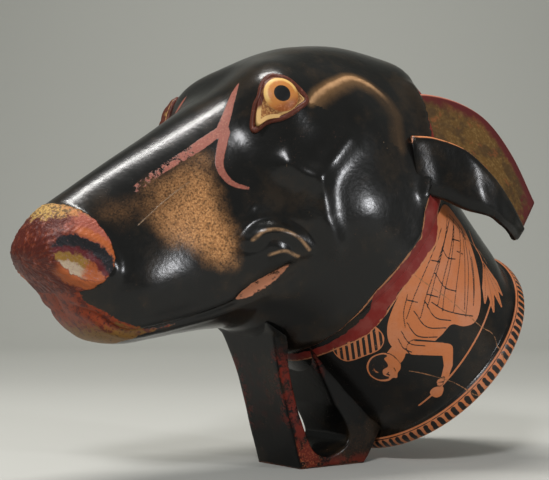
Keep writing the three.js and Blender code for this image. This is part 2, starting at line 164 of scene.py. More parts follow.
def smoothThrough(distances, values):
    # a smooth curve through the values that never overshoots them
    step = np.diff(distances)
    rise = np.diff(values, axis=0) / step[:, None]
    slope = np.zeros_like(values)
    before = (2 * step[1:] + step[:-1])[:, None]
    after = (step[1:] + 2 * step[:-1])[:, None]
    safe = np.where(rise == 0, 1, rise)
    inner = (before + after) / (before / safe[:-1] + after / safe[1:])
    slope[1:-1] = np.where(rise[:-1] * rise[1:] > 0, inner, 0)
    slope[0] = endSlope(step[0], step[1], rise[0], rise[1])
    slope[-1] = endSlope(step[-1], step[-2], rise[-1], rise[-2])

    def curve(distance):
        i = np.clip(np.searchsorted(distances, distance, side="right") - 1, 0, len(step) - 1)
        h = step[i][..., None]
        t = (distance - distances[i])[..., None] / h
        keep = (1 + 2 * t) * (1 - t) ** 2
        leave = t * (1 - t) ** 2
        arrive = t * t * (t - 1)
        reach = t * t * (3 - 2 * t)
        return keep * values[i] + leave * h * slope[i] + reach * values[i + 1] + arrive * h * slope[i + 1]

    return curve


stations, neckCount = bodyStations()
distances = stationDistances(stations)
stationCurve = smoothThrough(distances, stations)


def bodyPoint(distance, angle):
    q = stationCurve(distance)
    c, s = np.cos(angle), np.sin(angle)
    power = 2 / np.where(c > 0, q[..., 6], q[..., 7])
    height = np.abs(c) ** power
    middleX = q[..., 2] + (q[..., 0] - q[..., 2]) * q[..., 5]
    middleZ = q[..., 3] + (q[..., 1] - q[..., 3]) * q[..., 5]
    endX = np.where(c > 0, q[..., 0], q[..., 2])
    endZ = np.where(c > 0, q[..., 1], q[..., 3])
    x = middleX + (endX - middleX) * height
    y = -q[..., 4] * np.sign(s) * np.abs(s) ** power
    z = middleZ + (endZ - middleZ) * height
    return np.stack([x, y, z], -1)


def bodyNormal(distance, angle):
    small = 0.01
    ahead = bodyPoint(np.minimum(distance + small, distances[-1]), angle)
    behind = bodyPoint(np.maximum(distance - small, 0), angle)
    turned = bodyPoint(distance, angle + small) - bodyPoint(distance, angle - small)
    normal = np.cross(ahead - behind, turned)
    return normal / (np.linalg.norm(normal, axis=-1, keepdims=True) + 1e-12)


# Distance helpers, all in millimetres
def pathGaps(points, path):
    # for each stretch of a path: the share of it passed, the way from it, and the length of that way
    path = np.array(path, float)
    for start, end in zip(path[:-1], path[1:]):
        along = end - start
        share = np.clip(((points - start) @ along) / (along @ along), 0, 1)
        gap = points - start - share[..., None] * along
        yield share, gap, np.sqrt((gap ** 2).sum(-1))


def distanceToPath(points, path):
    return np.minimum.reduce([length for _, _, length in pathGaps(points, path)])


def taperedStroke(points, path, widths):
    # distance to a brush stroke whose half width changes from point to point, negative inside
    best = np.full(points.shape[:-1], 1e9)
    for (share, _, length), first, last in zip(pathGaps(points, path), widths[:-1], widths[1:]):
        best = np.minimum(best, length - (first + (last - first) * share))
    return best


def curvePieces(a, b, c, d, steps):
    # smooth pieces from b to c, for many corners at once
    t = np.arange(steps)[:, None] / steps
    line = 2 * b + (c - a) * t + (2 * a - 5 * b + 4 * c - d) * t ** 2 + (3 * b - 3 * c + d - a) * t ** 3
    return line.reshape(-1, line.shape[-1]) / 2


def roundedOutline(corners, steps=6):
    # a closed smooth outline through its corners
    p = np.array(corners, float)
    a, b, c, d = [np.roll(p, 1 - k, axis=0)[:, None] for k in range(4)]
    return curvePieces(a, b, c, d, steps)


def smoothLine(points, steps=8):
    p = np.array(points, float)
    p = np.concatenate([[2 * p[0] - p[1]], p, [2 * p[-1] - p[-2]]])
    a, b, c, d = [p[k:len(p) - 3 + k, None] for k in range(4)]
    return np.concatenate([curvePieces(a, b, c, d, steps), p[-2:-1]])


def evenly(line, count):
    # the same line with evenly spaced points
    steps = np.concatenate([[0], np.cumsum(np.linalg.norm(np.diff(line, axis=0), axis=1))])
    wanted = np.linspace(0, steps[-1], count)
    return np.stack([np.interp(wanted, steps, line[:, k]) for k in range(line.shape[1])], -1)


def insideOutline(flat, outline):
    # signed distance in a plane, negative inside
    x, y = flat[..., 0], flat[..., 1]
    odd = np.zeros(x.shape, bool)
    for (x0, y0), (x1, y1) in zip(outline, np.roll(outline, -1, axis=0)):
        if y0 == y1:
            continue
        odd ^= ((y0 > y) != (y1 > y)) & (x < (x1 - x0) * (y - y0) / (y1 - y0) + x0)
    edge = distanceToPath(flat, np.concatenate([outline, outline[:1]]))
    return np.where(odd, -edge, edge)


def smoothStep(low, high, value):
    t = np.clip((value - low) / (high - low), 0, 1)
    return t * t * (3 - 2 * t)


def nearSide(points):
    near = points.copy()
    near[..., 1] = -np.abs(near[..., 1])
    return near


# Relief that the solid has too: places and reaches in hundredths of the head's length
swellings = [
    ([-39.5, -24, 40.2], 10, 4),  # eye
    ([-37.2, -18, 47.5], 9, 2),  # brow
    ([-45.2, 0, 50.2], 8.7, -1.4),  # furrow between the brows
    ([-15.9, -30, 35.5], 10.7, 1.5),  # temple
    ([-26.5, -27.3, 38.2], 5.3, -1.1),  # hollow behind the eye
    ([-15.9, -33.3, 10.9], 12.7, 2),  # jaw muscle
    ([-42.5, -25.3, 15.5], 8, -1.4),  # hollow under the eye
    ([-38.5, -29.3, 7.5], 6, -0.9),  # hollow of the cheek
    ([-41.9, -25.3, 2.2], 6, 2.4),  # fold of the lip
    ([-72.5, -16, -9.8], 10, 1.7),  # hanging lip
    ([-57.2, -18, 7.5], 10.7, -0.8),  # side of the muzzle
    ([-90.5, -7, -0.5], 8.5, 1.2),  # nose
]
ridges = [
    ([[-37.9, -27.3, 21.5], [-31.9, -30.7, 18.2], [-30.5, -31.3, 8.2], [-27.2, -31.3, 1.5]], 3.4, 1.6),
    ([[-31.9, -30.7, 18.2], [-22.5, -32, 28.9]], 3.4, 1.2),
    ([[-35.9, -26.7, -5.1], [-40.5, -22, -8.5], [-45.2, -18.7, -12.5]], 2.6, -1.8),
    ([[8.1, -24.7, 47.5], [8.8, -29.3, 36.9], [7.1, -32.3, 28.2], [2.8, -34.7, 15.5]], 2.5, 1.5),
]

# Finer relief and paint, in millimetres on the hound's left side
headPlaces = {
    "backEdge": [(31, -24, 164), (28.5, -37, 156), (27, -44, 144), (24.5, -48.5, 131), (18.5, -51.9, 110),
                 (14.7, -51.9, 95), (3.2, -49.4, 82), (-3.8, -45.2, 73.4), (-9.3, -37.2, 62.2),
                 (-14.2, -26.8, 54.1), (-18, -10, 50), (-19, 0, 49.5)],
    "mouthLine": [(-122, -4, 66.5), (-118, -13, 65.5), (-112.6, -17.3, 62.9), (-107.7, -17.3, 59.9),
                  (-100.4, -17.4, 57.6), (-91.5, -18.3, 58.3), (-78.8, -19.1, 61), (-66, -21.5, 64.5),
                  (-54, -27, 70), (-47, -32, 75.5), (-41, -38, 81.5)],
    "lipFold": [(-57, -33.5, 92), (-53.5, -36, 95.5), (-47.5, -39, 96), (-41, -42, 93.5), (-36, -44.5, 88.5)],
    "lowerFold": [(-51, -36, 86.5), (-45.5, -38.5, 88), (-39, -41.5, 86)],
    "nostril": {"centre": (-119.5, -18.2, 84.4), "along": (0.86, -0.24, -0.45), "outward": (-0.5, -0.85, 0.1),
                "halfLength": 12.0, "halfWidth": 7.2},
    "redStroke": [(-52, -19, 155.5), (-55, -20, 149.5), (-58.5, -21.5, 142), (-62.6, -23.1, 134.7)],
    "redLeft": [(-62.6, -23.1, 134.7), (-66.5, -21.8, 132), (-70.5, -20.8, 129), (-76, -19.5, 125),
                (-87.1, -17.7, 118), (-97.1, -17, 110.6)],
    "redRight": [(-61.5, -24, 134), (-64.4, -25.5, 127), (-66.1, -26.9, 120.6), (-64.2, -28.6, 115.6),
                 (-60.8, -30.5, 113), (-56.6, -32.4, 112)],
    "arcBehindEye": [(-33, -41, 146.5), (-28.5, -39.1, 150.5), (-17.5, -37.8, 156.5), (-7.9, -36.6, 159.5),
                     (2, -39.3, 155.8), (9.4, -43.3, 146.9), (8.2, -48.6, 129.9)],
    "crackUnderEye": [(-45, -39.3, 138), (-45.2, -41.5, 121), (-40, -44, 110), (-36.5, -45.3, 102),
                      (-31.5, -48, 94)],
    "crackTemple": [(-10, -45.5, 145), (-4, -48, 136), (3, -50, 124), (6.8, -51.7, 113)],
    "crackMuzzle": [(-98.8, -21.2, 96.5), (-87.1, -21.8, 106.6), (-77.1, -23.3, 114.3)],
    "pit": (-56, -33.8, 104.5),
    "headward": (-0.93, 0, 0.36),
}
cracks = ("crackUnderEye", "crackTemple", "crackMuzzle")
# Outlines seen from the side, as x and z
patchOutline = roundedOutline([
    (-92, 115), (-82, 121.5), (-74.6, 127), (-67.5, 127), (-67.6, 115), (-64, 101.5), (-59.2, 84), (-64, 80),
    (-72, 82.5), (-81, 86.5), (-91, 91.5), (-97.5, 99), (-106, 96), (-114, 100), (-108, 106.5), (-98, 109)])
noseOutline = roundedOutline([(-146, 92), (-136, 104), (-125, 104.8), (-117, 101), (-112, 95.4), (-109, 88.4),
                              (-109.2, 82), (-113, 75.8), (-119, 72.6), (-124, 71.4), (-134, 68), (-144, 76)])
lipOutline = roundedOutline([
    (-136, 78), (-126, 75.5), (-121, 73.6), (-117, 68.2), (-112.5, 66), (-104, 61.3), (-92, 58.6),
    (-80, 60.3), (-92, 57), (-98, 54.5), (-104, 50), (-114, 50), (-126, 62)])
wedgeOutline = roundedOutline([(-40.5, 83), (-46, 80), (-53, 75.5), (-57, 70), (-51.5, 70.5), (-44, 76.5)])

# Height, distance of its crest from the line, and reach of each form, in millimetres
reliefShape = {
    "mouthGroove": (-1.3, 0, 1.3),
    "mouthSwell": (0.5, 3.2, 2.2),
    "foldRidge": (0.8, 0, 2.4),
    "foldGroove": (-0.6, 4.2, 1.6),
    "lowerFold": (0.4, 0, 1.6),
    "crack": (-0.05, 0, 0.45),
    "pit": (-0.4, 0, 1.2),
    "backEdge": (1.5, 14),
    "nostrilRim": 1.5,
    "nostrilHollow": -2.6,
    "nostrilLobe": 2.2,
    "noseCrust": 0.22,
    "noseStep": 0.5,
}


def sideView(points):
    return points[..., [0, 2]]


def fade(distance, reach):
    return np.exp(-((distance / reach) ** 2))


def toLines(near, *names):
    # distance to the nearest of some lines on the head
    return np.minimum.reduce([distanceToPath(near, smoothLine(headPlaces[name])) for name in names])


def toSideLines(near, *names):
    # the same, seen from the side
    lines = [sideView(smoothLine(headPlaces[name])) for name in names]
    return np.minimum.reduce([distanceToPath(sideView(near), line) for line in lines])


def solidRelief(points):
    near = nearSide(points)
    rise = np.zeros(points.shape[:-1])
    for place, reach, height in swellings:
        gap = np.linalg.norm(near - headPoint(place), axis=-1)
        rise += height * fade(gap, reach * headUnit)
    for path, reach, height in ridges:
        rise += height * fade(distanceToPath(near, [headPoint(p) for p in path]), reach * headUnit)
    return rise * headUnit


def nostrilPlace(near):
    # along, across and out of the nostril's own frame
    place = headPlaces["nostril"]
    along = np.array(place["along"]) / np.linalg.norm(place["along"])
    out = np.array(place["outward"], float)
    out -= along * (out @ along)
    out /= np.linalg.norm(out)
    across = np.cross(along, out)
    gap = near - np.array(place["centre"])
    return gap @ along, gap @ across, gap @ out


def nostrilRing(along, across):
    # 1 on the nostril's rim, less within it
    return np.hypot(along / headPlaces["nostril"]["halfLength"], across / headPlaces["nostril"]["halfWidth"])


def headwardDistance(near):
    # signed distance from the head's back edge, positive on the head
    best = np.full(near.shape[:-1], 1e9)
    side = np.zeros(near.shape[:-1])
    for _, gap, length in pathGaps(near, headPlaces["backEdge"]):
        closer = length < best
        best = np.where(closer, length, best)
        side = np.where(closer, gap @ headPlaces["headward"], side)
    return np.where(side >= 0, best, -best)


def fineRelief(points):
    near = nearSide(points)
    x, y, z = np.moveaxis(points, -1, 0)
    edge = headwardDistance(near)
    step, reach = reliefShape["backEdge"]
    rise = step * smoothStep(-0.9, 0.9, edge) * fade(np.maximum(edge, 0), reach)
    mouth = toLines(near, "mouthLine")
    fold = toSideLines(near, "lipFold")
    lines = {
        "mouthGroove": mouth,
        "mouthSwell": mouth,
        "foldRidge": fold,
        "foldGroove": fold,
        "lowerFold": toSideLines(near, "lowerFold"),
        "crack": toLines(near, *cracks),
        "pit": np.linalg.norm(near - headPlaces["pit"], axis=-1),
    }
    for name, distance in lines.items():
        height, crest, reach = reliefShape[name]
        rise += height * fade(distance - crest, reach)
    along, across, out = nostrilPlace(near)
    outside = fade(np.maximum(np.abs(out) - 5, 0), 3)
    ring = nostrilRing(along, across)
    lobe = np.hypot((along - 4.4) / 4.6, (across + 0.6) / 3.0)
    for height, bump in ((reliefShape["nostrilRim"], fade(ring - 1.0, 0.24)),
                         (reliefShape["nostrilHollow"], fade(ring, 0.62)),
                         (reliefShape["nostrilLobe"], fade(lobe, 0.75))):
        rise += height * bump * outside
    # the nose's crust, higher than the gloss round it
    nose = insideOutline(sideView(near), noseOutline)
    crust = np.sin(x * 2.1 + 1.3 * np.sin(z * 1.7)) * np.sin(y * 1.9 + z * 1.3)
    crust += 0.6 * np.sin(x * 4.3 + y * 3.7) * np.sin(z * 4.9)
    rise += reliefShape["noseCrust"] * crust * smoothStep(1.5, -2, nose)
    rise += reliefShape["noseStep"] * smoothStep(0.6, -0.8, nose) * smoothStep(70, 76, near[..., 2])
    return rise


# Mesh building
def makeMesh(name, points, faces, values=None, flatFaces=()):
    mesh = bpy.data.meshes.new(name)
    flat = np.asarray(points, float).reshape(-1, 3) * metresPerMm
    mesh.from_pydata(flat.tolist(), [], faces)
    for key, data in (values or {}).items():
        attribute = mesh.attributes.new(key, "FLOAT", "POINT")
        attribute.data.foreach_set("value", np.asarray(data, np.float32).reshape(-1))
    smooth = np.ones(len(mesh.polygons), bool)
    smooth[list(flatFaces)] = False
    mesh.polygons.foreach_set("use_smooth", smooth)
    mesh.update()
    piece = bpy.data.objects.new(name, mesh)
    bpy.context.scene.collection.objects.link(piece)
    return piece


def ringFaces(rows, columns, wrap):
    # quads between rings of points; wrap joins the last ring to the first
    i = np.arange(rows if wrap else rows - 1)[:, None]
    k = np.arange(columns)[None, :]
    nextRow = (i + 1) % rows
    nextColumn = (k + 1) % columns
    quads = np.stack(np.broadcast_arrays(
        i * columns + k, nextRow * columns + k, nextRow * columns + nextColumn, i * columns + nextColumn), -1)
    return quads.reshape(-1, 4).tolist()


def endFans(rows, columns):
    # fans that close the first and the last ring, with their hubs as two extra points
    first = rows * columns
    last = first + 1
    start = [(first, k, (k + 1) % columns) for k in range(columns)]
    row = (rows - 1) * columns
    end = [(last, row + (k + 1) % columns, row + k) for k in range(columns)]
    return start + end


def closedTube(rings):
    # a tube through rings of points, closed with a fan at each end
    rows, columns = rings.shape[:2]
    points = np.concatenate([rings.reshape(-1, 3), [rings[0].mean(0), rings[-1].mean(0)]])
    return points, ringFaces(rows, columns, False) + endFans(rows, columns)


def onSide(points, faces, side):
    # side -1 is the hound's left, as drawn; side 1 mirrors the piece
    if side > 0:
        points = points * (1, -1, 1)
        faces = [tuple(reversed(face)) for face in faces]
    return points, faces


def dress(piece, material):
    piece.data.materials.clear()
    piece.data.materials.append(material)
    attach(piece, "root")
    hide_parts(cupNode)
    return piece


# Columns of the shell are closer together on the painted left side
meshPitch = {
    "denseFrom": 48.0,  # degrees round the body, 0 is the top
    "denseTo": 152.0,
    "denseStep": 0.5,
    "wideStep": 1.25,
    "headRing": 0.96,
    "neckRing": 0.45,
    "innerRings": 24,
}


def shellAngles(pitch):
    dense = np.arange(pitch["denseFrom"], pitch["denseTo"], pitch["denseStep"])
    turn = 360 - (pitch["denseTo"] - pitch["denseFrom"])
    count = int(round(turn / pitch["wideStep"]))
    wide = pitch["denseTo"] + np.arange(count) * turn / count
    return np.radians(np.concatenate([dense, wide]))


def depthOf(points):
    return -(points - mouthCentre) @ mouthAxis


def angleOf(points):
    # degrees round the neck's axis, 0 at the top, growing towards the hound's left side
    radial = points - mouthCentre
    return np.degrees(np.arctan2(-radial[..., 1], radial @ mouthUp))


# The neck's picture, in degrees round the neck and millimetres from the mouth
picture = {
    "mantle": [(56, 63), (54.5, 54), (56, 46), (64, 37.5), (74, 30), (83, 25), (91, 23.5), (97, 27),
               (101, 32.5), (108, 33), (116, 34), (123, 36), (127.5, 41), (128, 48), (121, 56), (106, 62),
               (88, 65), (70, 66)],
    "neck": [(125, 45), (126, 38.5), (132, 36.5), (134, 43)],
    "face": [(131, 41), (130.8, 36.5), (132.6, 34), (134.2, 33.4), (135.2, 32.8), (136.8, 31.2),
             (138.2, 32.3), (141, 32.2), (144.4, 34.5), (146, 39), (144, 43.8), (139.5, 46.4), (134.5, 45.6),
             (132, 43.4)],
    "cushion": [(128, 51.5), (133, 47.5), (141, 48.5), (150, 50.5), (152, 56), (149, 60.5), (139, 61.5),
                (129, 59)],
    "arm": [(121, 38), (115, 31.5), (110.5, 26), (115, 20.5), (121, 16.8)],
    "armWidth": [3.4, 3.1, 2.6, 2.0, 1.5],
    "hand": [(120, 17.6), (123, 15.2), (125, 16.2), (123.6, 18.6)],
    "cup": [(123.5, 14.2), (127, 16.8), (130, 15.8), (129.6, 12.2), (126.5, 11.4)],
    "staff": [(70, 21), (100, 18), (138, 13.4)],
    "petals": [[(61, 31), (66, 14.5)], [(61, 31), (72.5, 13.5)], [(61, 31), (79, 17)],
               [(61, 31), (79.5, 23.5)]],
    "petalWidth": [0.5, 1.5, 2.3, 0.6],
    "tendril": [(52, 43), (57, 39), (59, 34), (62, 31)],
    "folds": [[(58, 56), (72, 53), (88, 49), (100, 43.5)], [(57.5, 51.5), (70, 47), (84, 42), (96, 35.5)],
              [(59, 47.5), (70, 41), (82, 35), (93, 29)], [(66, 39.5), (76, 33.5), (86, 28.5)],
              [(62, 58.5), (80, 56.5), (98, 52), (110, 46)], [(100, 34), (104.5, 41), (103, 50)],
              [(104, 33.5), (110.5, 41), (110, 50.5)], [(110, 33.8), (116.5, 41), (116, 49)],
              [(117, 35), (121.5, 41), (120.5, 48)], [(90, 26), (95, 33), (99, 40), (101, 47)],
              [(58.6, 59), (58, 53), (58.9, 46)], [(60.2, 59.2), (59.7, 53), (60.7, 45)],
              [(76, 48), (79, 52), (78, 57)], [(88, 40), (91, 46), (90, 54)], [(70, 45), (72, 49)],
              [(60, 60.5), (75, 57), (90, 53), (104, 47)], [(62, 54.6), (78, 50), (92, 45), (100, 40)],
              [(57, 49.5), (68, 44.5), (80, 38.5), (91, 31.5)], [(64, 42), (74, 35.6), (83, 30)],
              [(70, 61.5), (88, 59.4), (104, 55.5), (115, 50.5)], [(84, 54.6), (87, 58.6)],
              [(97, 46), (100, 51)], [(66, 49.4), (69, 53.4)], [(106, 52), (109, 56.5)],
              [(118, 48), (114, 53.5), (107, 58)]],
    "bodyLines": [[(123.5, 37), (125, 41), (124, 46)], [(119, 40.5), (113.5, 34.5), (109.5, 30)],
                  [(138.4, 34.2), (139.4, 35.6)], [(138.9, 34), (138.3, 35.8), (137.9, 35.6)],
                  [(134.9, 34.4), (134.7, 36.2)], [(136.6, 40), (138.6, 40.2), (138.2, 41.4), (136.8, 41)],
                  [(121.6, 16), (123.6, 17.2)]],
    "hair": [(139.8, 33.4), (143.6, 35.2), (145, 39), (143.2, 43), (139.2, 45.5), (135, 44.8), (133.4, 43),
             (135.4, 42.6), (136.2, 38.8), (139.4, 38.4), (141, 36)],
    "repairs": [[(102, 77.6), (99.2, 65.5), (97.1, 55.3), (93.7, 41), (91.5, 27)],
                [(91.5, 27), (90.3, 19), (88.4, 11.8), (92, 6), (96.7, 0)],
                [(130.3, 30.8), (125.5, 24.6), (118.8, 13), (115.4, 2.9), (113, 0)],
                [(60, 46), (57, 35), (58.5, 28)]],
}
mmPerDegree = cupSizes["neckRadius"] * math.pi / 180


def flatPlace(places):
    flat = np.array(places, float)
    flat[:, 0] *= mmPerDegree
    return flat


def neckPicture(points):
    # signed distance to the areas left in the clay's orange, and to the black lines drawn on them
    flat = np.stack([angleOf(points) * mmPerDegree, depthOf(points)], -1)
    areas = {name: insideOutline(flat, roundedOutline(flatPlace(picture[name])))
             for name in ("mantle", "neck", "face", "cushion", "hand", "cup")}
    areas["arm"] = taperedStroke(flat, flatPlace(picture["arm"]), picture["armWidth"])
    orange = np.minimum.reduce(list(areas.values()))
    orange = np.minimum(orange, distanceToPath(flat, flatPlace(picture["staff"])) - 0.42)
    orange = np.minimum(orange, distanceToPath(flat, smoothLine(flatPlace(picture["tendril"]))) - 0.45)
    for petal in picture["petals"]:
        line = evenly(flatPlace(petal), len(picture["petalWidth"]))
        orange = np.minimum(orange, taperedStroke(flat, line, picture["petalWidth"]))
    lines = [distanceToPath(flat, smoothLine(flatPlace(line))) for name in ("folds", "bodyLines")
             for line in picture[name]]
    lines += [distanceToPath(flat, flatPlace(petal)) + 0.06 for petal in picture["petals"]]
    drawn = np.minimum.reduce(lines) - 0.25
    outlined = np.minimum(np.maximum(np.abs(areas["arm"]), areas["mantle"]), np.abs(areas["hand"]))
    outlined = np.minimum(outlined, np.maximum(np.abs(areas["face"]), areas["neck"]))
    drawn = np.minimum(drawn, outlined - 0.22)
    stripes = np.abs(((flat[..., 0] * 0.86 + flat[..., 1] * 0.5) / 2.4) % 1 - 0.5) * 2.4 - 0.62
    drawn = np.minimum(drawn, np.maximum(stripes, areas["cushion"] + 0.4))
    hair = insideOutline(flat, roundedOutline(flatPlace(picture["hair"]))) - 0.3
    drawn = np.minimum(drawn, hair)
    # plainer far side: two upright leaves with veins
    far = flat.copy()
    far[..., 0] = np.abs(np.abs(-flat[..., 0] - 96 * mmPerDegree) - 19 * mmPerDegree)
    leaf = (far[..., 0] / 7.0 + ((far[..., 1] - 34) / 19.0) ** 2 - 1) * 5
    veins = np.abs((1.2 * far[..., 0] + far[..., 1]) % 5.0 - 2.5) - 0.45
    veins = np.minimum(veins, far[..., 0] - 0.3)
    leaf = np.where(flat[..., 0] < 0, leaf, 1e3)
    orange = np.minimum(orange, leaf)
    drawn = np.minimum(drawn, np.where(flat[..., 0] < 0, np.maximum(veins, leaf + 1.2), 1e3))
    return orange, drawn


# Places of the paint on the head, in millimetres and in degrees round the neck
paintPlaces = {
    "collarStart": 58.4,  # depth below the mouth
    "collarWaves": [(3.2, 100, 30), (-3.0, 130, 15)],  # rise, angle and reach of its waves
    "collarGap": 1.0,
    "collarWidth": 11.5,
    "strokes": {  # half widths at shares of each stroke's length
        "redStroke": ([0, 0.3, 1], [0.5, 1.5, 2.2]),
        "redLeft": ([0, 0.4, 1], [2.0, 2.2, 1.4]),
        "redRight": ([0, 0.6, 1], [2.0, 1.3, 0.6]),
    },
    "arcAbove": 2.3,  # the arc's colour fades this much faster above it
    # centre, seen from the side, of the painted warm reflection on the golden patch
    "paintedSheen": (-68, 96),
}


def paintValues(points, inner):
    # what the paint follows: signed distances in millimetres, kept as attributes of the mesh
    near = nearSide(points)
    side = sideView(near)
    edge = headwardDistance(near)
    depth = depthOf(points)
    angle = angleOf(near)
    collarStart = paintPlaces["collarStart"]
    for rise, middle, reach in paintPlaces["collarWaves"]:
        collarStart = collarStart + rise * fade(angle - middle, reach)
    collarGap, collarWidth = paintPlaces["collarGap"], paintPlaces["collarWidth"]
    strokes = []
    for name, (shares, widths) in paintPlaces["strokes"].items():
        line = smoothLine(headPlaces[name])
        strokes.append(taperedStroke(near, line, np.interp(np.linspace(0, 1, len(line)), shares, widths)))
    arc = smoothLine(headPlaces["arcBehindEye"])
    beneath = insideOutline(side, sideView(arc)) < 0
    along, across, outward = nostrilPlace(near)
    orange, drawn = neckPicture(points)
    flat = np.stack([angleOf(points) * mmPerDegree, depth], -1)
    repairs = [distanceToPath(flat, smoothLine(flatPlace(line))) for line in picture["repairs"]]
    return {
        "redStroke": np.minimum.reduce(strokes),
        "strokeLoss": 0.16 * smoothStep(-66, -86, near[..., 0]),
        "collar": np.maximum.reduce([collarStart - depth, edge + collarGap, -edge - collarWidth]),
        "backEdge": np.abs(edge),
        "low": smoothStep(112, 132, angle) * smoothStep(-8, -2, depth - 66.5),
        "mouth": toLines(near, "mouthLine"),
        "fold": toSideLines(near, "lipFold", "lowerFold"),
        "crack": toLines(near, *cracks),
        "patch": insideOutline(side, patchOutline),
        "arc": distanceToPath(near, arc) * np.where(beneath, 1, paintPlaces["arcAbove"]),
        # distance from the centre of the painted warm reflection on the golden patch
        "paintedSheen": np.linalg.norm(side - paintPlaces["paintedSheen"], axis=-1),
        "nose": insideOutline(side, noseOutline),
        "lip": insideOutline(side, lipOutline),
        "wedge": np.maximum(insideOutline(side, wedgeOutline), near[..., 1] + 20),
        "nostrilRing": np.where(np.abs(outward) > 9, 9, nostrilRing(along, across)),
        "nostrilAlong": along,
        "nostrilAcross": across,
        "repair": np.minimum.reduce(repairs),
        "orange": orange,
        "drawn": drawn,
        "inside": inner,
    }


def wallAt(distance):
    seam = distances[neckCount - 1]
    share = smoothStep(seam - 8, seam + 8, distance)
    return cupSizes["neckWall"] + (cupSizes["headWall"] - cupSizes["neckWall"]) * share


def outerRings(cuts, angles):
    s, v = np.meshgrid(cuts, angles, indexing="ij")
    points = bodyPoint(s, v)
    rise = solidRelief(points)
    normal = bodyNormal(s, v)
    points = points + normal * rise[..., None]
    return points + normal * fineRelief(points)[..., None]


def innerRings(cuts, angles):
    s, v = np.meshgrid(cuts, angles, indexing="ij")
    return bodyPoint(s, v) - bodyNormal(s, v) * wallAt(s)[..., None]


def makeHead(pitch, angles):
    seam = distances[neckCount - 1]
    count = int((distances[-1] - seam) / pitch["headRing"])
    outer = outerRings(np.linspace(seam, distances[-1], count), angles)
    tip = neckEnd[0] - cupSizes["headLength"] + cupSizes["noseThickness"]
    tops = bodyPoint(distances, np.zeros(len(distances)))[:, 0]
    end = distances[np.argmax(tops < tip) - 1]
    inner = innerRings(np.linspace(end, seam, pitch["innerRings"]), angles)
    points, faces = closedTube(np.concatenate([inner, outer]))
    columns = len(angles)
    isInner = np.zeros(len(points))
    isInner[:len(inner) * columns] = 1
    isInner[-2] = 1
    seamFaces = range((len(inner) - 1) * columns, len(inner) * columns)
    return makeMesh("hound_head", points, faces, paintValues(points, isInner), seamFaces)


def makeNeck(pitch, angles):
    seam = distances[neckCount - 1]
    lipEnd = distances[3]
    neckCuts = np.linspace(lipEnd, seam, int((seam - lipEnd) / pitch["neckRing"]))
    outer = outerRings(np.concatenate([np.linspace(0, lipEnd, 22)[:-1], neckCuts]), angles)
    inner = innerRings(np.linspace(seam, lipEnd, 12), angles)
    # the lip: the inside runs straight out to the mouth and turns over a rounded edge
    mouthward = depthOf(inner[-1])[..., None]
    lipRings = []
    for depth, spread in ((2.2, 0.0), (0.7, 0.05), (0.2, 0.4), (0.0, 1.1)):
        ring = inner[-1] + mouthAxis * (mouthward - depth)
        radial = ring - mouthCentre
        radial -= (radial @ mouthAxis)[..., None] * mouthAxis
        lipRings.append(ring + radial / np.linalg.norm(radial, axis=-1, keepdims=True) * spread)
    rings = np.concatenate([outer, inner, np.array(lipRings)])
    rows, columns = rings.shape[:2]
    points = rings.reshape(-1, 3)
    isInner = np.zeros(len(points))
    isInner[len(outer) * columns:(rows - 1) * columns] = 1
    seamFaces = range((len(outer) - 1) * columns, len(outer) * columns)
    faces = ringFaces(rows, columns, True)
    return makeMesh("painted_neck", points, faces, paintValues(points, isInner), seamFaces)


angles = shellAngles(meshPitch)
head = makeHead(meshPitch, angles)
neck = makeNeck(meshPitch, angles)
print("head and neck made")

# Ears: folded leaves with rolled edges
earShape = {
    "inner": [(4, -23, 42), (12, -24, 44), (24.8, -24.7, 42.9), (35, -26.2, 38.4), (42, -29.4, 28.5),
              (46.8, -33.3, 14.9)],
    "fold": [(1.5, -31.5, 18), (9.5, -34, 16.2), (17.5, -37.3, 13.2), (23.5, -38.7, 12.4), (29.5, -38.6, 9.9),
             (36.8, -36.7, 6)],
    "outer": [(0.1, -32.5, 30.2), (6.8, -34.6, 29.9), (14.8, -38, 26.9), (22.8, -40, 20.2),
              (29.5, -39.8, 13.7), (37.5, -37.3, 7.2)],
    "thickness": 3.4,
    "edgeRoll": 0.5,  # extra thickness at the rim
    "unevenness": 0.18,
    "rowsPerStep": 16,
    "across": 44,
    "round": 7,
}


def leafGrid(shape):
    inner, fold, outer = [smoothLine([headPoint(p) for p in shape[key]], shape["rowsPerStep"])[:, None]
                          for key in ("inner", "fold", "outer")]
    t = np.linspace(0, 1, shape["across"])[None, :, None]
    middle = 2 * fold - (inner + outer) / 2
    return inner * (1 - t) ** 2 + middle * 2 * t * (1 - t) + outer * t ** 2


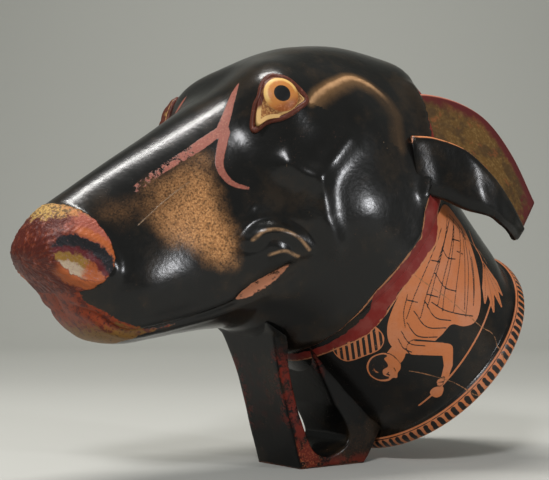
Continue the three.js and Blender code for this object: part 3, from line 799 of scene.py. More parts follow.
def makeEar(name, shape, side):
    leaf = leafGrid(shape)
    rows = len(leaf)
    normal = np.cross(np.gradient(leaf, axis=0), np.gradient(leaf, axis=1))
    normal /= np.linalg.norm(normal, axis=-1, keepdims=True)
    t = np.linspace(0, 1, shape["across"])
    along = np.linspace(0, 1, rows)[:, None]
    rim = np.maximum(fade(np.minimum(t, 1 - t), 0.06), fade(1 - along, 0.04))
    half = shape["thickness"] / 2 + shape["edgeRoll"] * rim
    wobble = shape["unevenness"] * np.sin(along * 23) * np.sin(t * 9 + along * 7)
    cup = leaf + normal * (half + wobble)[..., None]
    back = leaf - normal * (half - wobble)[..., None]
    rings = []
    for i in range(rows):
        ring = list(cup[i])
        for edge, order in ((-1, 1), (0, -1)):
            out = leaf[i, edge] - leaf[i, -2 if edge else 1]
            out /= np.linalg.norm(out)
            for turn in np.arange(1, shape["round"]) * math.pi / shape["round"]:
                way = out * math.sin(turn) + normal[i, edge] * math.cos(turn) * order
                ring.append(leaf[i, edge] + way * half[i, edge])
            if edge:
                ring.extend(back[i][::-1])
        rings.append(ring)
    rings = np.array(rings)
    # close the tip with shrinking rings, so that the cut end is slightly rounded
    last = rings[-1]
    outward = (last - rings[-3]).mean(0)
    outward /= np.linalg.norm(outward)
    nearest = leaf[-1][np.argmin(np.linalg.norm(last[:, None] - leaf[-1], axis=-1), axis=1)]
    for shrink, push in ((0.75, 0.55), (0.35, 0.9)):
        rings = np.concatenate([rings, (nearest + (last - nearest) * shrink + outward * push)[None]])
    points, faces = closedTube(rings)
    turned = shape["round"] - 1
    rowCount, columns = rings.shape[:2]
    across = np.concatenate([t, np.ones(turned), t[::-1], np.zeros(turned)])
    hollowSide = np.concatenate([np.zeros(len(t)), np.linspace(0.1, 0.9, turned),
                                 np.ones(len(t)), np.linspace(0.9, 0.1, turned)])
    values = {
        "acrossEar": np.append(np.tile(across, rowCount), [0.5, 0.5]),
        "insideEar": np.append(np.tile(hollowSide, rowCount), [0, 0.5]),
        "alongEar": np.append(np.repeat(np.linspace(0, 1, rowCount), columns), [0, 1]),
    }
    points, faces = onSide(points, faces, side)
    return makeMesh(name, points, faces, values)


ears = [makeEar("ear_left", earShape, -1), makeEar("ear_right", earShape, 1)]
print("ears made")

# Handle: a strap from under the jaw, bent into the foot and up into the neck
handleShape = {
    "halfWidth": 15.3,
    "flare": 5.5,  # extra half width at the jaw
    "corner": 1.3,
    "steps": 26,
    "thickness": 5.2,
    "footThickness": 4.5,
    "unevenness": 0.16,
    "jaw": (-32.5, 0, -20.5),  # where the front arm meets the jaw, in hundredths of the head's length
    "hiddenOuter": (-39.0, 60.5),  # where its ends lie inside the head's and the neck's walls
    "hiddenInner": (-28.5, 54.5),
    "hiddenBack": [(-3.7, 33.3), (-8.84, 42.47), (-14.84, 50.5)],
    "acrossSteps": 22,
    "cornerSteps": 6,
    "thickSteps": 8,
}


def bezier(places, steps):
    t = np.linspace(0, 1, steps)[:, None]
    order = len(places) - 1
    return sum(math.comb(order, k) * np.array(place, float) * t ** k * (1 - t) ** (order - k)
               for k, place in enumerate(places))


def throatAt(depth, proud):
    place = mouthCentre - mouthAxis * depth - mouthUp * (cupSizes["neckRadius"] + proud)
    return place[[0, 2]]


def handleSides(shape):
    # the strap's outer and inner line in side view, paired point for point
    jaw = headPoint(shape["jaw"])[[0, 2]]
    front = -cupSizes["footLength"] / 2
    thick = shape["thickness"]
    low = shape["footThickness"]
    span = front - jaw[0]
    rise = throatAt(cupSizes["neckLength"] * 0.47, thick * 1.6)
    root = throatAt(cupSizes["lipBand"] + 4, -cupSizes["neckWall"] / 2)
    outerFront = bezier([jaw, (jaw[0] + 0.42 * span, 0.655 * jaw[1]),
                         (jaw[0] + 0.61 * span, 0.38 * jaw[1]), (front, 0)], 60)
    outerFront = np.concatenate([[shape["hiddenOuter"]], outerFront[2:]])
    innerX = jaw[0] + thick
    innerFront = bezier([(innerX + 0.8, jaw[1]), (innerX + 0.42 * span, 0.655 * jaw[1]),
                         (innerX + 0.57 * span, 0.4 * jaw[1]), (front + thick, low * 2)], 60)
    innerFront = np.concatenate([[shape["hiddenInner"]], innerFront[6:]])
    bend = bezier([(front + thick, low * 2), (front + thick + 3, low), (front + thick + 8.84, low)], 20)
    turnUp = bezier([bend[-1], (rise[0] + 5, low + 2), (rise[0] + 5.5, rise[1] * 0.62)], 20)
    upper = bezier([turnUp[-1], (rise[0] + 4, rise[1] * 0.9), (rise[0] - 2, rise[1] + 5)], 20)
    innerBack = np.concatenate([upper, shape["hiddenBack"]])
    outerBack = bezier([(-front, 0), (-front + (root[0] + front) * 0.3, root[1] * 0.2), root], 20)
    outerBack = np.concatenate([outerBack, [throatAt(depth, -3) for depth in (20, 32, 45, 57)]])
    foot = np.array([(front, 0), (-front, 0)])
    lines = []
    for parts in ((outerFront, foot, outerBack), (innerFront, np.concatenate([bend, turnUp[1:]]), innerBack)):
        pieces = [evenly(line, shape["steps"] * share) for line, share in zip(parts, (3, 2, 2))]
        lines.append(np.concatenate([pieces[0], pieces[1][1:], pieces[2][1:]]))
    return lines


def strapSection(half, thick, shape):
    # round the strap's section: across it, into it, and how much each point faces sideways
    r = shape["corner"]
    turns = np.linspace(0, math.pi / 2, shape["cornerSteps"])[1:-1]
    ring = [(y, 0, 0) for y in np.linspace(-half + r, half - r, shape["acrossSteps"])]
    ring += [(half - r + r * math.sin(a), r - r * math.cos(a), a / math.pi * 2) for a in turns]
    ring += [(half, deep, 1) for deep in np.linspace(r, thick - r, shape["thickSteps"])]
    ring += [(half - r + r * math.cos(a), thick - r + r * math.sin(a), 1 - a / math.pi * 2) for a in turns]
    return np.array(ring + [(-y, thick - deep, facing) for y, deep, facing in ring])


def makeHandle(shape):
    jawHeight = headPoint(shape["jaw"])[2]
    rings, strapSide = [], []
    for out, ins in zip(*handleSides(shape)):
        flare = np.clip((out[1] + ins[1]) / 2 / jawHeight - 0.58, 0, 0.42) / 0.42
        half = shape["halfWidth"] + shape["flare"] * flare ** 2
        thick = np.linalg.norm(ins - out)
        section = strapSection(half, thick, shape)
        spots = out + section[:, 1:2] * (ins - out) / thick
        rings.append(np.stack([spots[:, 0], section[:, 0], spots[:, 1]], -1))
        strapSide.extend(section[:, 2])
    rings = np.array(rings)
    x, y, z = np.moveaxis(rings, -1, 0)
    uneven = shape["unevenness"] * np.sin(z * 0.31 + y * 0.2) * np.sin(x * 0.27 + 1)
    rings[..., 1] += np.sign(y) * uneven * np.clip(z / 4, 0, 1)
    points, faces = closedTube(rings)
    return makeMesh("handle", points, faces, {"strapSide": np.append(strapSide, [0, 0])})


handle = makeHandle(handleShape)
print("handle made")

# Eyes: a domed ball in an almond between raised lids, laid on the shell's own surface
eyeShape = {
    "place": (-45.03, -38.4, 148.24),
    "forward": (-0.887, 0.190, -0.421),  # towards the nose
    "down": (0.338, -0.354, -0.872),
    "outward": (-0.315, -0.916, 0.250),
    "outline": [(15, 6.6), (10.4, -0.9), (7.3, -3.6), (3.8, -7.4), (-0.4, -9.1), (-4.6, -5.6), (-7, -0.8),
                (-8.6, 5.4), (-4.0, 7.3), (3.4, 8.2), (9.7, 6.6)],
    "pupil": (0.9, 0.1),
    "ballRadius": 7.3,
    "ballRise": 3.0,
    "rings": 34,
    "lidRadius": 1.15,
    "lidLift": 0.35,
    "skin": 0.25,  # how far the eye stands off the shell
    "rootDepth": 6.0,  # how deep its back is sunk
}


def shellHeights(shell, shape, flat):
    # height of the shell above the eye's own plane, at places in that plane
    points = np.zeros(len(shell.data.vertices) * 3)
    shell.data.vertices.foreach_get("co", points)
    points = points.reshape(-1, 3) / metresPerMm
    gap = points - np.array(shape["place"])
    forward, down, out = gap @ shape["forward"], gap @ shape["down"], gap @ shape["outward"]
    close = (np.hypot(forward, down) < 24) & (np.abs(out) < 8) & (points[:, 1] < 0)
    forward, down, out = forward[close], down[close], out[close]
    heights = np.zeros(len(flat))
    for start in range(0, len(flat), 400):
        part = flat[start:start + 400]
        square = (part[:, :1] - forward) ** 2 + (part[:, 1:2] - down) ** 2
        nearest = np.argsort(square, axis=1)[:, :10]
        near = out[nearest]
        # the wall's inner side is left out
        weight = (near > near.max(1, keepdims=True) - 2.0) / (np.take_along_axis(square, nearest, 1) + 0.05)
        heights[start:start + 400] = (weight * near).sum(1) / weight.sum(1)
    return heights


def eyePlace(shape, flat, height):
    ways = np.array([shape["forward"], shape["down"], shape["outward"]])
    return np.array(shape["place"]) + np.column_stack([flat, height]) @ ways


def makeEye(name, shape, side):
    edge = roundedOutline(shape["outline"], 10)
    pupil = np.array(shape["pupil"])
    shares = np.linspace(0, 1, shape["rings"] + 1)[1:]
    flat = np.concatenate([pupil + (edge - pupil) * share for share in shares])
    reach = np.linalg.norm(flat - pupil, axis=1)
    dome = shape["ballRise"] * np.sqrt(np.clip(1 - (reach / (shape["ballRadius"] + 0.4)) ** 2, 0, 1))
    middle = shellHeights(head, shape, pupil[None])[0] + shape["skin"]
    ballBase = middle - 0.6
    height = np.maximum(shellHeights(head, shape, flat) + shape["skin"], ballBase + dome)
    back = middle - shape["rootDepth"]
    # the last ring is sunk into the head, and both ends close on a point
    flat = np.concatenate([flat, pupil + (edge - pupil) * 0.9, pupil[None], pupil[None]])
    height = np.concatenate([height, np.full(len(edge), back), [ballBase + shape["ballRise"], back]])
    rows = shape["rings"] + 1
    faces = ringFaces(rows, len(edge), False) + endFans(rows, len(edge))
    values = {
        "eyeForward": flat[:, 0] - pupil[0],
        "eyeDown": flat[:, 1] - pupil[1],
        "toEdge": insideOutline(flat, edge),
    }
    points, faces = onSide(eyePlace(shape, flat, height), faces, side)
    return makeMesh(name, points, faces, values)


def sweepNodes(name):
    # a closed path becomes a rounded rim whose thickness follows the path's "thickness"
    tree = bpy.data.node_groups.new(name, "GeometryNodeTree")
    sockets = {}
    for label, way, kind in (("Geometry", "INPUT", "Geometry"), ("Radius", "INPUT", "Float"),
                             ("Material", "INPUT", "Material"), ("Geometry", "OUTPUT", "Geometry")):
        made = tree.interface.new_socket(label, in_out=way, socket_type="NodeSocket" + kind)
        sockets.setdefault(label, made.identifier)
    kinds = {
        "start": "NodeGroupInput",
        "curve": "GeometryNodeMeshToCurve",
        "thickness": "GeometryNodeInputNamedAttribute",
        "thicken": "GeometryNodeSetCurveRadius",
        "circle": "GeometryNodeCurvePrimitiveCircle",
        "around": "GeometryNodeSplineParameter",
        "store": "GeometryNodeStoreNamedAttribute",
        "sweep": "GeometryNodeCurveToMesh",
        "smooth": "GeometryNodeSetShadeSmooth",
        "realize": "GeometryNodeRealizeInstances",
        "paint": "GeometryNodeSetMaterial",
        "end": "NodeGroupOutput",
    }
    nodes = {key: tree.nodes.new(kind) for key, kind in kinds.items()}
    nodes["thickness"].data_type = "FLOAT"
    nodes["thickness"].inputs["Name"].default_value = "thickness"
    nodes["circle"].inputs["Resolution"].default_value = 16
    nodes["store"].data_type = "FLOAT"
    nodes["store"].domain = "POINT"
    nodes["store"].inputs["Name"].default_value = "aroundLid"
    for source, output, target, place in (
            ("start", "Geometry", "curve", "Mesh"), ("curve", "Curve", "thicken", "Curve"),
            ("thickness", "Attribute", "thicken", "Radius"), ("start", "Radius", "circle", "Radius"),
            ("circle", "Curve", "store", "Geometry"), ("around", "Factor", "store", "Value"),
            ("thicken", "Curve", "sweep", "Curve"), ("store", "Geometry", "sweep", "Profile Curve"),
            ("sweep", "Mesh", "smooth", "Geometry"), ("smooth", "Geometry", "realize", "Geometry"),
            ("realize", "Geometry", "paint", "Geometry"), ("start", "Material", "paint", "Material"),
            ("paint", "Geometry", "end", "Geometry")):
        tree.links.new(nodes[source].outputs[output], nodes[target].inputs[place])
    return tree, sockets


def makeLids(name, shape, side, nodes, sockets, material):
    outline = roundedOutline(shape["outline"], 10)
    edge = evenly(np.concatenate([outline, outline[:1]]), 181)[:-1]
    height = shellHeights(head, shape, edge) + shape["lidLift"]
    height = np.convolve(np.concatenate([height[-4:], height, height[:4]]), np.ones(9) / 9, "valid")
    points, _ = onSide(eyePlace(shape, edge, height), [], side)
    count = len(points)
    path = bpy.data.meshes.new(name)
    path.from_pydata((points * metresPerMm).tolist(), [(i, (i + 1) % count) for i in range(count)], [])
    # the upper lid is thicker, and the rim is a little uneven
    turn = np.arange(count) / count * 2 * math.pi
    thickness = 0.9 + 0.35 * smoothStep(2.5, -2.5, edge[:, 1]) + 0.08 * np.sin(turn * 5 + 1)
    thickness += 0.05 * np.sin(turn * 11)
    attribute = path.attributes.new("thickness", "FLOAT", "POINT")
    attribute.data.foreach_set("value", thickness.astype(np.float32))
    holder = bpy.data.objects.new(name, path)
    bpy.context.scene.collection.objects.link(holder)
    modifier = holder.modifiers.new("sweep", "NODES")
    modifier.node_group = nodes
    modifier[sockets["Radius"]] = shape["lidRadius"] * metresPerMm
    modifier[sockets["Material"]] = material
    view = bpy.context.evaluated_depsgraph_get()
    swept = bpy.data.meshes.new_from_object(holder.evaluated_get(view))
    holder.modifiers.remove(modifier)
    holder.data = swept
    swept.name = name
    return holder


eyes = [makeEye("eye_left", eyeShape, -1), makeEye("eye_right", eyeShape, 1)]
print("eyes made")

# What a node puts out; arithmetic on it adds the math nodes
class Value:
    def __init__(self, tree, socket):
        self.tree = tree
        self.socket = socket

    def output(self, key):
        # another output of the same node
        return Value(self.tree, self.socket.node.outputs[key])

    def __add__(self, other):
        return calc("ADD", self, other)

    def __sub__(self, other):
        return calc("SUBTRACT", self, other)

    def __rsub__(self, other):
        return calc("SUBTRACT", other, self)

    def __mul__(self, other):
        return calc("MULTIPLY", self, other)

    def __abs__(self):
        return calc("ABSOLUTE", self)


def addNode(tree, kind, inputs, output=0, **settings):
    made = tree.nodes.new(kind)
    for key, value in settings.items():
        setattr(made, key, value)
    for key, value in inputs.items():
        if isinstance(value, Value):
            tree.links.new(value.socket, made.inputs[key])
        else:
            made.inputs[key].default_value = value
    return Value(tree, made.outputs[output])


def calc(operation, a, b=0.0):
    tree = a.tree if isinstance(a, Value) else b.tree
    return addNode(tree, "ShaderNodeMath", {0: a, 1: b}, operation=operation)


def mixed(share, under, over):
    # a colour over another one, by a share that changes over the surface
    under, over = [tone if isinstance(tone, Value) else (*tone, 1) for tone in (under, over)]
    return addNode(share.tree, "ShaderNodeMix", {0: share, 6: under, 7: over}, 2, data_type="RGBA")


def ease(value, low, high):
    return addNode(value.tree, "ShaderNodeMapRange", {0: value, 1: low, 2: high, 3: 0.0, 4: 1.0},
                   interpolation_type="SMOOTHSTEP")


def stored(tree, name):
    return addNode(tree, "ShaderNodeAttribute", {}, "Fac", attribute_name=name)


def noise(place, scale, detail, rough):
    inputs = {"Vector": place, "Scale": scale, "Detail": detail, "Roughness": rough}
    return addNode(place.tree, "ShaderNodeTexNoise", inputs)


def placeInMm(tree):
    place = addNode(tree, "ShaderNodeTexCoord", {}, "Object")
    return addNode(tree, "ShaderNodeVectorMath", {0: place, 3: 1 / metresPerMm}, operation="SCALE")


def separate(place):
    parts = addNode(place.tree, "ShaderNodeSeparateXYZ", {0: place})
    return [parts.output(k) for k in range(3)]


def startGroup(name, **inputs):
    tree = bpy.data.node_groups.new(name, "ShaderNodeTree")
    for label, value in inputs.items():
        socket = tree.interface.new_socket(label, in_out="INPUT", socket_type="NodeSocketFloat")
        socket.default_value = value
    start = tree.nodes.new("NodeGroupInput")
    return tree, [Value(tree, start.outputs[label]) for label in inputs]


def endGroup(tree, **outputs):
    for label in outputs:
        kind = "NodeSocketColor" if label == "Color" else "NodeSocketFloat"
        tree.interface.new_socket(label, in_out="OUTPUT", socket_type=kind)
    end = tree.nodes.new("NodeGroupOutput")
    for label, value in outputs.items():
        tree.links.new(value.socket, end.inputs[label])
    return tree


def makeWornMask():
    # a mask from a distance in millimetres, with a brushed or flaking edge
    tree, (distance, soft, wear, grain) = startGroup("worn_mask", Distance=0.0, Soft=0.2, Wear=0.3, Grain=0.8)
    ragged = noise(placeInMm(tree), grain, 4.0, 0.6)
    moved = distance + (ragged - 0.5) * (wear * 3.0)
    return endGroup(tree, Mask=ease(moved, soft * 0.5, soft * -0.5))


glossLook = {
    "black": (0.0042, 0.0040, 0.0038),
    "warm": (0.015, 0.010, 0.006),
    "rust": (0.10, 0.034, 0.012),
    "roughness": 0.23,
    "roughSpread": 0.16,
    "ior": 1.42,
    "bump": 0.6,
}


def makeBlackGloss(look):
    # black gloss slip: brownish where thin, rusty specks, hazy burnished patches
    tree, (rust,) = startGroup("black_gloss", Rust=0.3)
    place = placeInMm(tree)
    broad = noise(place, 0.035, 4.0, 0.6)
    middle = noise(place, 0.16, 5.0, 0.65)
    fine = noise(place, 1.6, 3.0, 0.6)
    skin = noise(place, 0.55, 3.0, 0.5)
    colour = mixed(ease(middle * 0.5 + broad, 0.72, 0.95), look["black"], look["warm"])
    fleck = ease(fine, 0.60, 0.72) * ease(middle, 0.50, 0.72)
    colour = mixed(fleck * rust, colour, look["rust"])
    rough = (middle - 0.5) * look["roughSpread"] + look["roughness"] + fleck * 0.2
    return endGroup(tree, Color=colour, Roughness=rough, Height=skin * 0.10 + fine * 0.022)


clayLook = {
    "base": (0.48, 0.150, 0.050),
    "deep": (0.32, 0.085, 0.030),
    "pale": (0.48, 0.175, 0.080),
}


def makeOrangeClay(look):
    # bare orange clay with rubbed and paler areas
    tree, (age,) = startGroup("orange_clay", Age=0.5)
    place = placeInMm(tree)
    broad = noise(place, 0.07, 4.0, 0.6)
    grain = noise(place, 1.1, 4.0, 0.7)
    colour = mixed(ease(broad, 0.38, 0.62), look["base"], look["pale"])
    colour = mixed(ease(grain, 0.5, 0.72) * age, colour, look["deep"])
    return endGroup(tree, Color=colour)


wornMask = makeWornMask()
blackGloss = makeBlackGloss(glossLook)
orangeClay = makeOrangeClay(clayLook)


def worn(distance, soft, wear, grain):
    inputs = {"Distance": distance, "Soft": soft, "Wear": wear, "Grain": grain}
    return addNode(distance.tree, "ShaderNodeGroup", inputs, node_tree=wornMask)


def bareClay(tree, age):
    return addNode(tree, "ShaderNodeGroup", {"Age": age}, node_tree=orangeClay)


def glossCoat(tree, rust):
    # the first coat: its colour, roughness and height
    gloss = addNode(tree, "ShaderNodeGroup", {"Rust": rust}, node_tree=blackGloss)
    return [gloss.output(key) for key in ("Color", "Roughness", "Height")]


def layer(state, mask, colour, rough, rise=0.0):
    # one coat of paint over what lies beneath, with its own gloss and thickness
    blended = addNode(mask.tree, "ShaderNodeMix", {0: mask, 2: state[1], 3: rough}, data_type="FLOAT")
    return mixed(mask, state[0], colour), blended, mask * rise + state[2]


def startMaterial(name, polish):
    made = bpy.data.materials.new(name)
    made.use_nodes = True
    shader = made.node_tree.nodes["Principled BSDF"]
    shader.inputs["IOR"].default_value = glossLook["ior"]
    shader.inputs["Specular IOR Level"].default_value = polish
    return made, made.node_tree, placeInMm(made.node_tree)


def finishMaterial(made, colour, rough, height):
    tree = made.node_tree
    shader = tree.nodes["Principled BSDF"]
    settings = {"Strength": glossLook["bump"], "Distance": metresPerMm, "Height": height}
    bump = addNode(tree, "ShaderNodeBump", settings)
    for key, value in (("Base Color", colour), ("Roughness", rough), ("Normal", bump)):
        tree.links.new(value.socket, shader.inputs[key])
    return made


collarLook = {
    "red": (0.160, 0.008, 0.005),
    "dusty": (0.185, 0.028, 0.021),
    "edge": (0.42, 0.17, 0.075),
}


def collarPaint(tree, place, state, look):
    # the dull purple-red band between picture and head, flaking low down
    distance = stored(tree, "collar")
    state = layer(state, worn(abs(distance + 0.25) - 0.34, 0.25, 0.16, 0.4), look["edge"], 0.55, 0.02)
    flaking = ease(stored(tree, "low"), 0.2, 0.8) * 3.2
    tone = mixed(ease(noise(place, 0.16, 5.0, 0.6), 0.42, 0.66), look["red"], look["dusty"])
    return layer(state, worn(distance + 0.5 + flaking, 0.3, 1.2, 0.22), tone, 0.52, 0.05)


headLook = {
    "polish": 0.45,
    "strokeRed": (0.24, 0.066, 0.043),
    "strokePale": (0.33, 0.125, 0.082),
    "gold": (0.34, 0.150, 0.052),
    "goldPale": (0.62, 0.31, 0.125),
    "goldDark": (0.055, 0.026, 0.010),
    "arc": (0.20, 0.105, 0.042),
    # painted golden highlight, on the arc's crest and on the lip's folds
    "paintedGoldHighlight": (0.56, 0.32, 0.16),
    "crack": (0.20, 0.12, 0.06),
    "wedge": (0.44, 0.175, 0.095),
    "lip": (0.20, 0.025, 0.002),
    "lipDark": (0.022, 0.004, 0.001),
    "lipSpot": (0.15, 0.080, 0.010),
    "lipLine": (0.45, 0.17, 0.035),
}
noseLook = {
    "front": (0.075, 0.007, 0.002),
    "frontPale": (0.16, 0.026, 0.006),
    "orange": (0.33, 0.078, 0.018),
    "ochre": (0.48, 0.29, 0.075),
    "ochreDark": (0.13, 0.070, 0.020),
    "crustOrange": (0.46, 0.17, 0.055),
    "pink": (0.33, 0.080, 0.048),
    "blue": (0.004, 0.004, 0.007),
    "purple": (0.09, 0.005, 0.007),
    "pale": (0.38, 0.29, 0.20),
    "green": (0.22, 0.115, 0.012),
    "lilac": (0.27, 0.125, 0.13),
}


def noseColours(tree, place, look):
    # crusted paint in broad areas: ochre on top, dark red in front, an orange wing round the nostril
    x, z = separate(place)[::2]
    grain = noise(place, 0.42, 5.0, 0.65)
    fine = noise(place, 1.5, 4.0, 0.7)
    across = x + (grain - 0.5) * 12.0
    height = z + (grain - 0.5) * 12.0
    colour = mixed(ease(grain, 0.50, 0.62), look["front"], look["frontPale"])
    colour = mixed(ease(fine, 0.62, 0.74) * 0.6, colour, look["orange"])
    colour = mixed(ease(across + height * -0.15, -130.0, -124.0), colour, look["orange"])
    colour = mixed(ease(height, 87.0, 91.0) * ease(across, -126.0, -119.0), colour, look["pink"])
    ochre = mixed(ease(across, -128.0, -118.0), look["ochre"], look["crustOrange"])
    ochre = mixed(ease(noise(place, 0.9, 3.0, 0.6), 0.46, 0.60), ochre, look["ochreDark"])
    crustLow = ease(across, -124.0, -112.0) * 2.0 + 98.0
    colour = mixed(ease(height - crustLow, 0.0, 2.6), colour, ochre)
    colour = mixed(ease(fine, 0.52, 0.60) * ease(grain, 0.56, 0.66), colour, look["lilac"])
    # within the nostril: dark blue above, then purple, green and pale below
    shift = (grain - 0.5) * 0.5
    ring = stored(tree, "nostrilRing") + shift
    along = stored(tree, "nostrilAlong")
    down = stored(tree, "nostrilAcross") + shift * 9.0 - (along * along * 0.035 - 1.2)
    inner = mixed(ease(down, 3.4, 4.8), look["green"], look["pale"])
    inner = mixed(ease(along + shift * 12.0, 0.5, 4.5), inner, look["orange"])
    inner = mixed(ease(fine, 0.56, 0.64) * 0.8, inner, look["lilac"])
    inner = mixed(ease(down, 1.4, 0.2), inner, look["purple"])
    inner = mixed(ease(down, -0.8, -2.6), inner, look["blue"])
    inner = mixed(ease(fine, 0.60, 0.68) * 0.35, inner, look["lilac"])
    colour = mixed(ease(ring, 1.02, 0.94), colour, inner)
    rim = ease(ring, 0.98, 1.04) * ease(ring, 1.5, 1.36)
    return mixed(rim * ease(along, -9.0, -4.0), colour, look["orange"])


def makeHeadMaterial(look, nose, collar):
    made, tree, place = startMaterial("head_paint", look["polish"])
    x, z = separate(place)[::2]
    fine = noise(place, 1.5, 4.0, 0.7)
    middle = noise(place, 0.28, 5.0, 0.7)
    cloud = noise(place, 0.10, 3.0, 0.55)
    speck = noise(place, 1.15, 3.0, 0.6)
    state = glossCoat(tree, 0.5)
    # golden patch where the gloss is thin and crackled, brightened by a painted warm reflection round one
    # spot towards its lower back
    patch = ease(stored(tree, "patch") + (cloud - 0.5) * 9.0, 2.5, -8.0)
    # painted warm reflection: the patch is brightest round its centre and fades away from it
    paintedSheen = ease(stored(tree, "paintedSheen") + cloud * 26.0, 50.0, 16.0)
    grains = mixed(ease(fine, 0.36, 0.60), look["goldPale"], look["gold"])
    grains = mixed(ease(speck, 0.48, 0.64) * 0.72, grains, look["goldDark"])
    state = layer(state, patch * (paintedSheen * 0.84 + 0.14), grains, 0.32, -0.02)
    # golden arc behind the eye: a brownish mark with a painted golden highlight along its crest, and the same
    # painted highlight along the lip's folds
    arc = stored(tree, "arc") + middle * 3.0
    share = ease(arc, 10.0, 1.0) * (ease(x, 6.0, -8.0) * 0.55 + 0.16)
    state = layer(state, share, look["arc"], 0.36)
    # the arc's crest: a painted golden highlight
    state = layer(state, ease(arc, 4.2, 1.2) * ease(x, 9.0, -2.0) * 0.72, look["paintedGoldHighlight"], 0.36)
    # painted golden highlight along the crests of the lip's folds
    fold = ease(stored(tree, "fold") + middle * 0.8, 1.45, 0.3)
    state = layer(state, fold * (ease(middle, 0.36, 0.60) * 0.5 + 0.15), look["paintedGoldHighlight"], 0.38)
    # hairline cracks, the red stroke in front of the eye and the bare wedge at the mouth's corner
    state = layer(state, worn(stored(tree, "crack") - 0.17, 0.16, 0.14, 0.3), look["crack"], 0.6, -0.08)
    red = mixed(ease(fine, 0.50, 0.66), look["strokeRed"], look["strokePale"])
    chips = ease(noise(place, 0.5, 5.0, 0.75) + stored(tree, "strokeLoss"), 0.67, 0.59)
    state = layer(state, worn(stored(tree, "redStroke"), 0.35, 0.22, 0.7) * chips, red, 0.5, 0.06)
    wedge = worn(stored(tree, "wedge"), 0.4, 0.5, 0.5) * ease(middle, 0.62, 0.52)
    state = layer(state, wedge, look["wedge"], 0.6, -0.04)
    state = layer(state, worn(stored(tree, "mouth") - 0.32, 0.3, 0.5, 0.35), look["lipLine"], 0.55, -0.02)
    # flaking lower lip, dark red with ochre spots
    lip = mixed(ease(middle, 0.50, 0.60), look["lip"], nose["front"])
    spot = ease((middle - 0.5) * 22.0 + z, 61.0, 57.0) * ease(x, -124.0, -117.0)
    lip = mixed(spot * 0.85, lip, look["lipSpot"])
    lip = mixed(ease(speck, 0.57, 0.66), lip, look["lipDark"])
    state = layer(state, worn(stored(tree, "lip"), 0.4, 0.7, 0.5), lip, 0.52, 0.03)
    state = layer(state, worn(stored(tree, "backEdge") - 0.28, 0.25, 0.35, 0.25), collar["edge"], 0.55)
    state = collarPaint(tree, place, state, collar)
    # the nose's thick crust, ruggedest on top
    mask = worn(stored(tree, "nose"), 0.5, 0.9, 0.4)
    colour, rough, height = layer(state, mask, noseColours(tree, place, nose), 0.50, 0.12)
    crust = speck * 0.5 + fine * 0.2 + middle * 0.6
    height = height + mask * crust * (ease(z, 93.0, 99.0) * 1.6 + 0.7)
    state = layer((colour, rough, height), stored(tree, "inside"), bareClay(tree, 0.6), 0.75)
    return finishMaterial(made, *state)


neckLook = {
    "polish": 0.38,
    "line": (0.012, 0.010, 0.009),
    "repair": (0.27, 0.12, 0.05),
    "tongues": 96,
    "tongueMiddle": 2.75,  # depth below the mouth, in millimetres, as are the next two
    "bandLine": 5.5,
    "insideGloss": 16.0,  # the inside is black down to here
}


def makeNeckMaterial(look, collar):
    made, tree, place = startMaterial("neck_paint", look["polish"])
    clay = bareClay(tree, 0.35)
    inside = stored(tree, "inside")
    wobble = noise(place, 0.25, 2.0, 0.5)
    state = layer(glossCoat(tree, 0.7), worn(stored(tree, "orange"), 0.16, 0.06, 0.6), clay, 0.46, -0.03)
    rubbed = ease(noise(place, 0.5, 4.0, 0.7), 0.70, 0.60)
    state = layer(state, worn(stored(tree, "drawn"), 0.14, 0.05, 0.9) * rubbed, look["line"], 0.3, 0.04)
    # band of tongues round the lip, from the angle round the mouth and the depth below it
    fromMouth = addNode(tree, "ShaderNodeVectorMath", {0: place, 1: tuple(-mouthCentre)}, operation="ADD")
    upward, depth = [addNode(tree, "ShaderNodeVectorMath", {0: fromMouth, 1: tuple(way)}, "Value",
                             operation="DOT_PRODUCT") for way in (mouthUp, -mouthAxis)]
    turn = calc("ARCTAN2", separate(fromMouth)[1], upward)
    count = turn * (look["tongues"] / (2 * math.pi)) + wobble * 0.5
    across = abs(calc("FRACT", count) - 0.5) * 3.5
    lengthwise = calc("MAXIMUM", abs(depth - look["tongueMiddle"]) - 1.4)
    tongue = calc("SQRT", across * across + lengthwise * lengthwise)
    band = ease(depth, look["bandLine"] + 0.75, look["bandLine"] + 0.5) * (1.0 - inside)
    state = layer(state, band, clay, 0.5)
    line = worn(abs(depth - look["bandLine"]) - 0.14, 0.15, 0.12, 0.3)
    black = calc("MAXIMUM", worn(tongue - 1.1, 0.25, 0.24, 0.35), line) * band
    state = layer(state, black, look["line"], 0.3, 0.04)
    state = layer(state, worn(stored(tree, "repair") - 0.2, 0.2, 0.2, 0.5), look["repair"], 0.6, -0.1)
    state = collarPaint(tree, place, state, collar)
    bare = inside * ease(depth + wobble * 5.0, look["insideGloss"], look["insideGloss"] + 1.5)
    return finishMaterial(made, *layer(state, bare, clay, 0.75))


handleLook = {
    "polish": 0.2,
    "red": (0.120, 0.010, 0.004),
    "orange": (0.27, 0.075, 0.026),
}


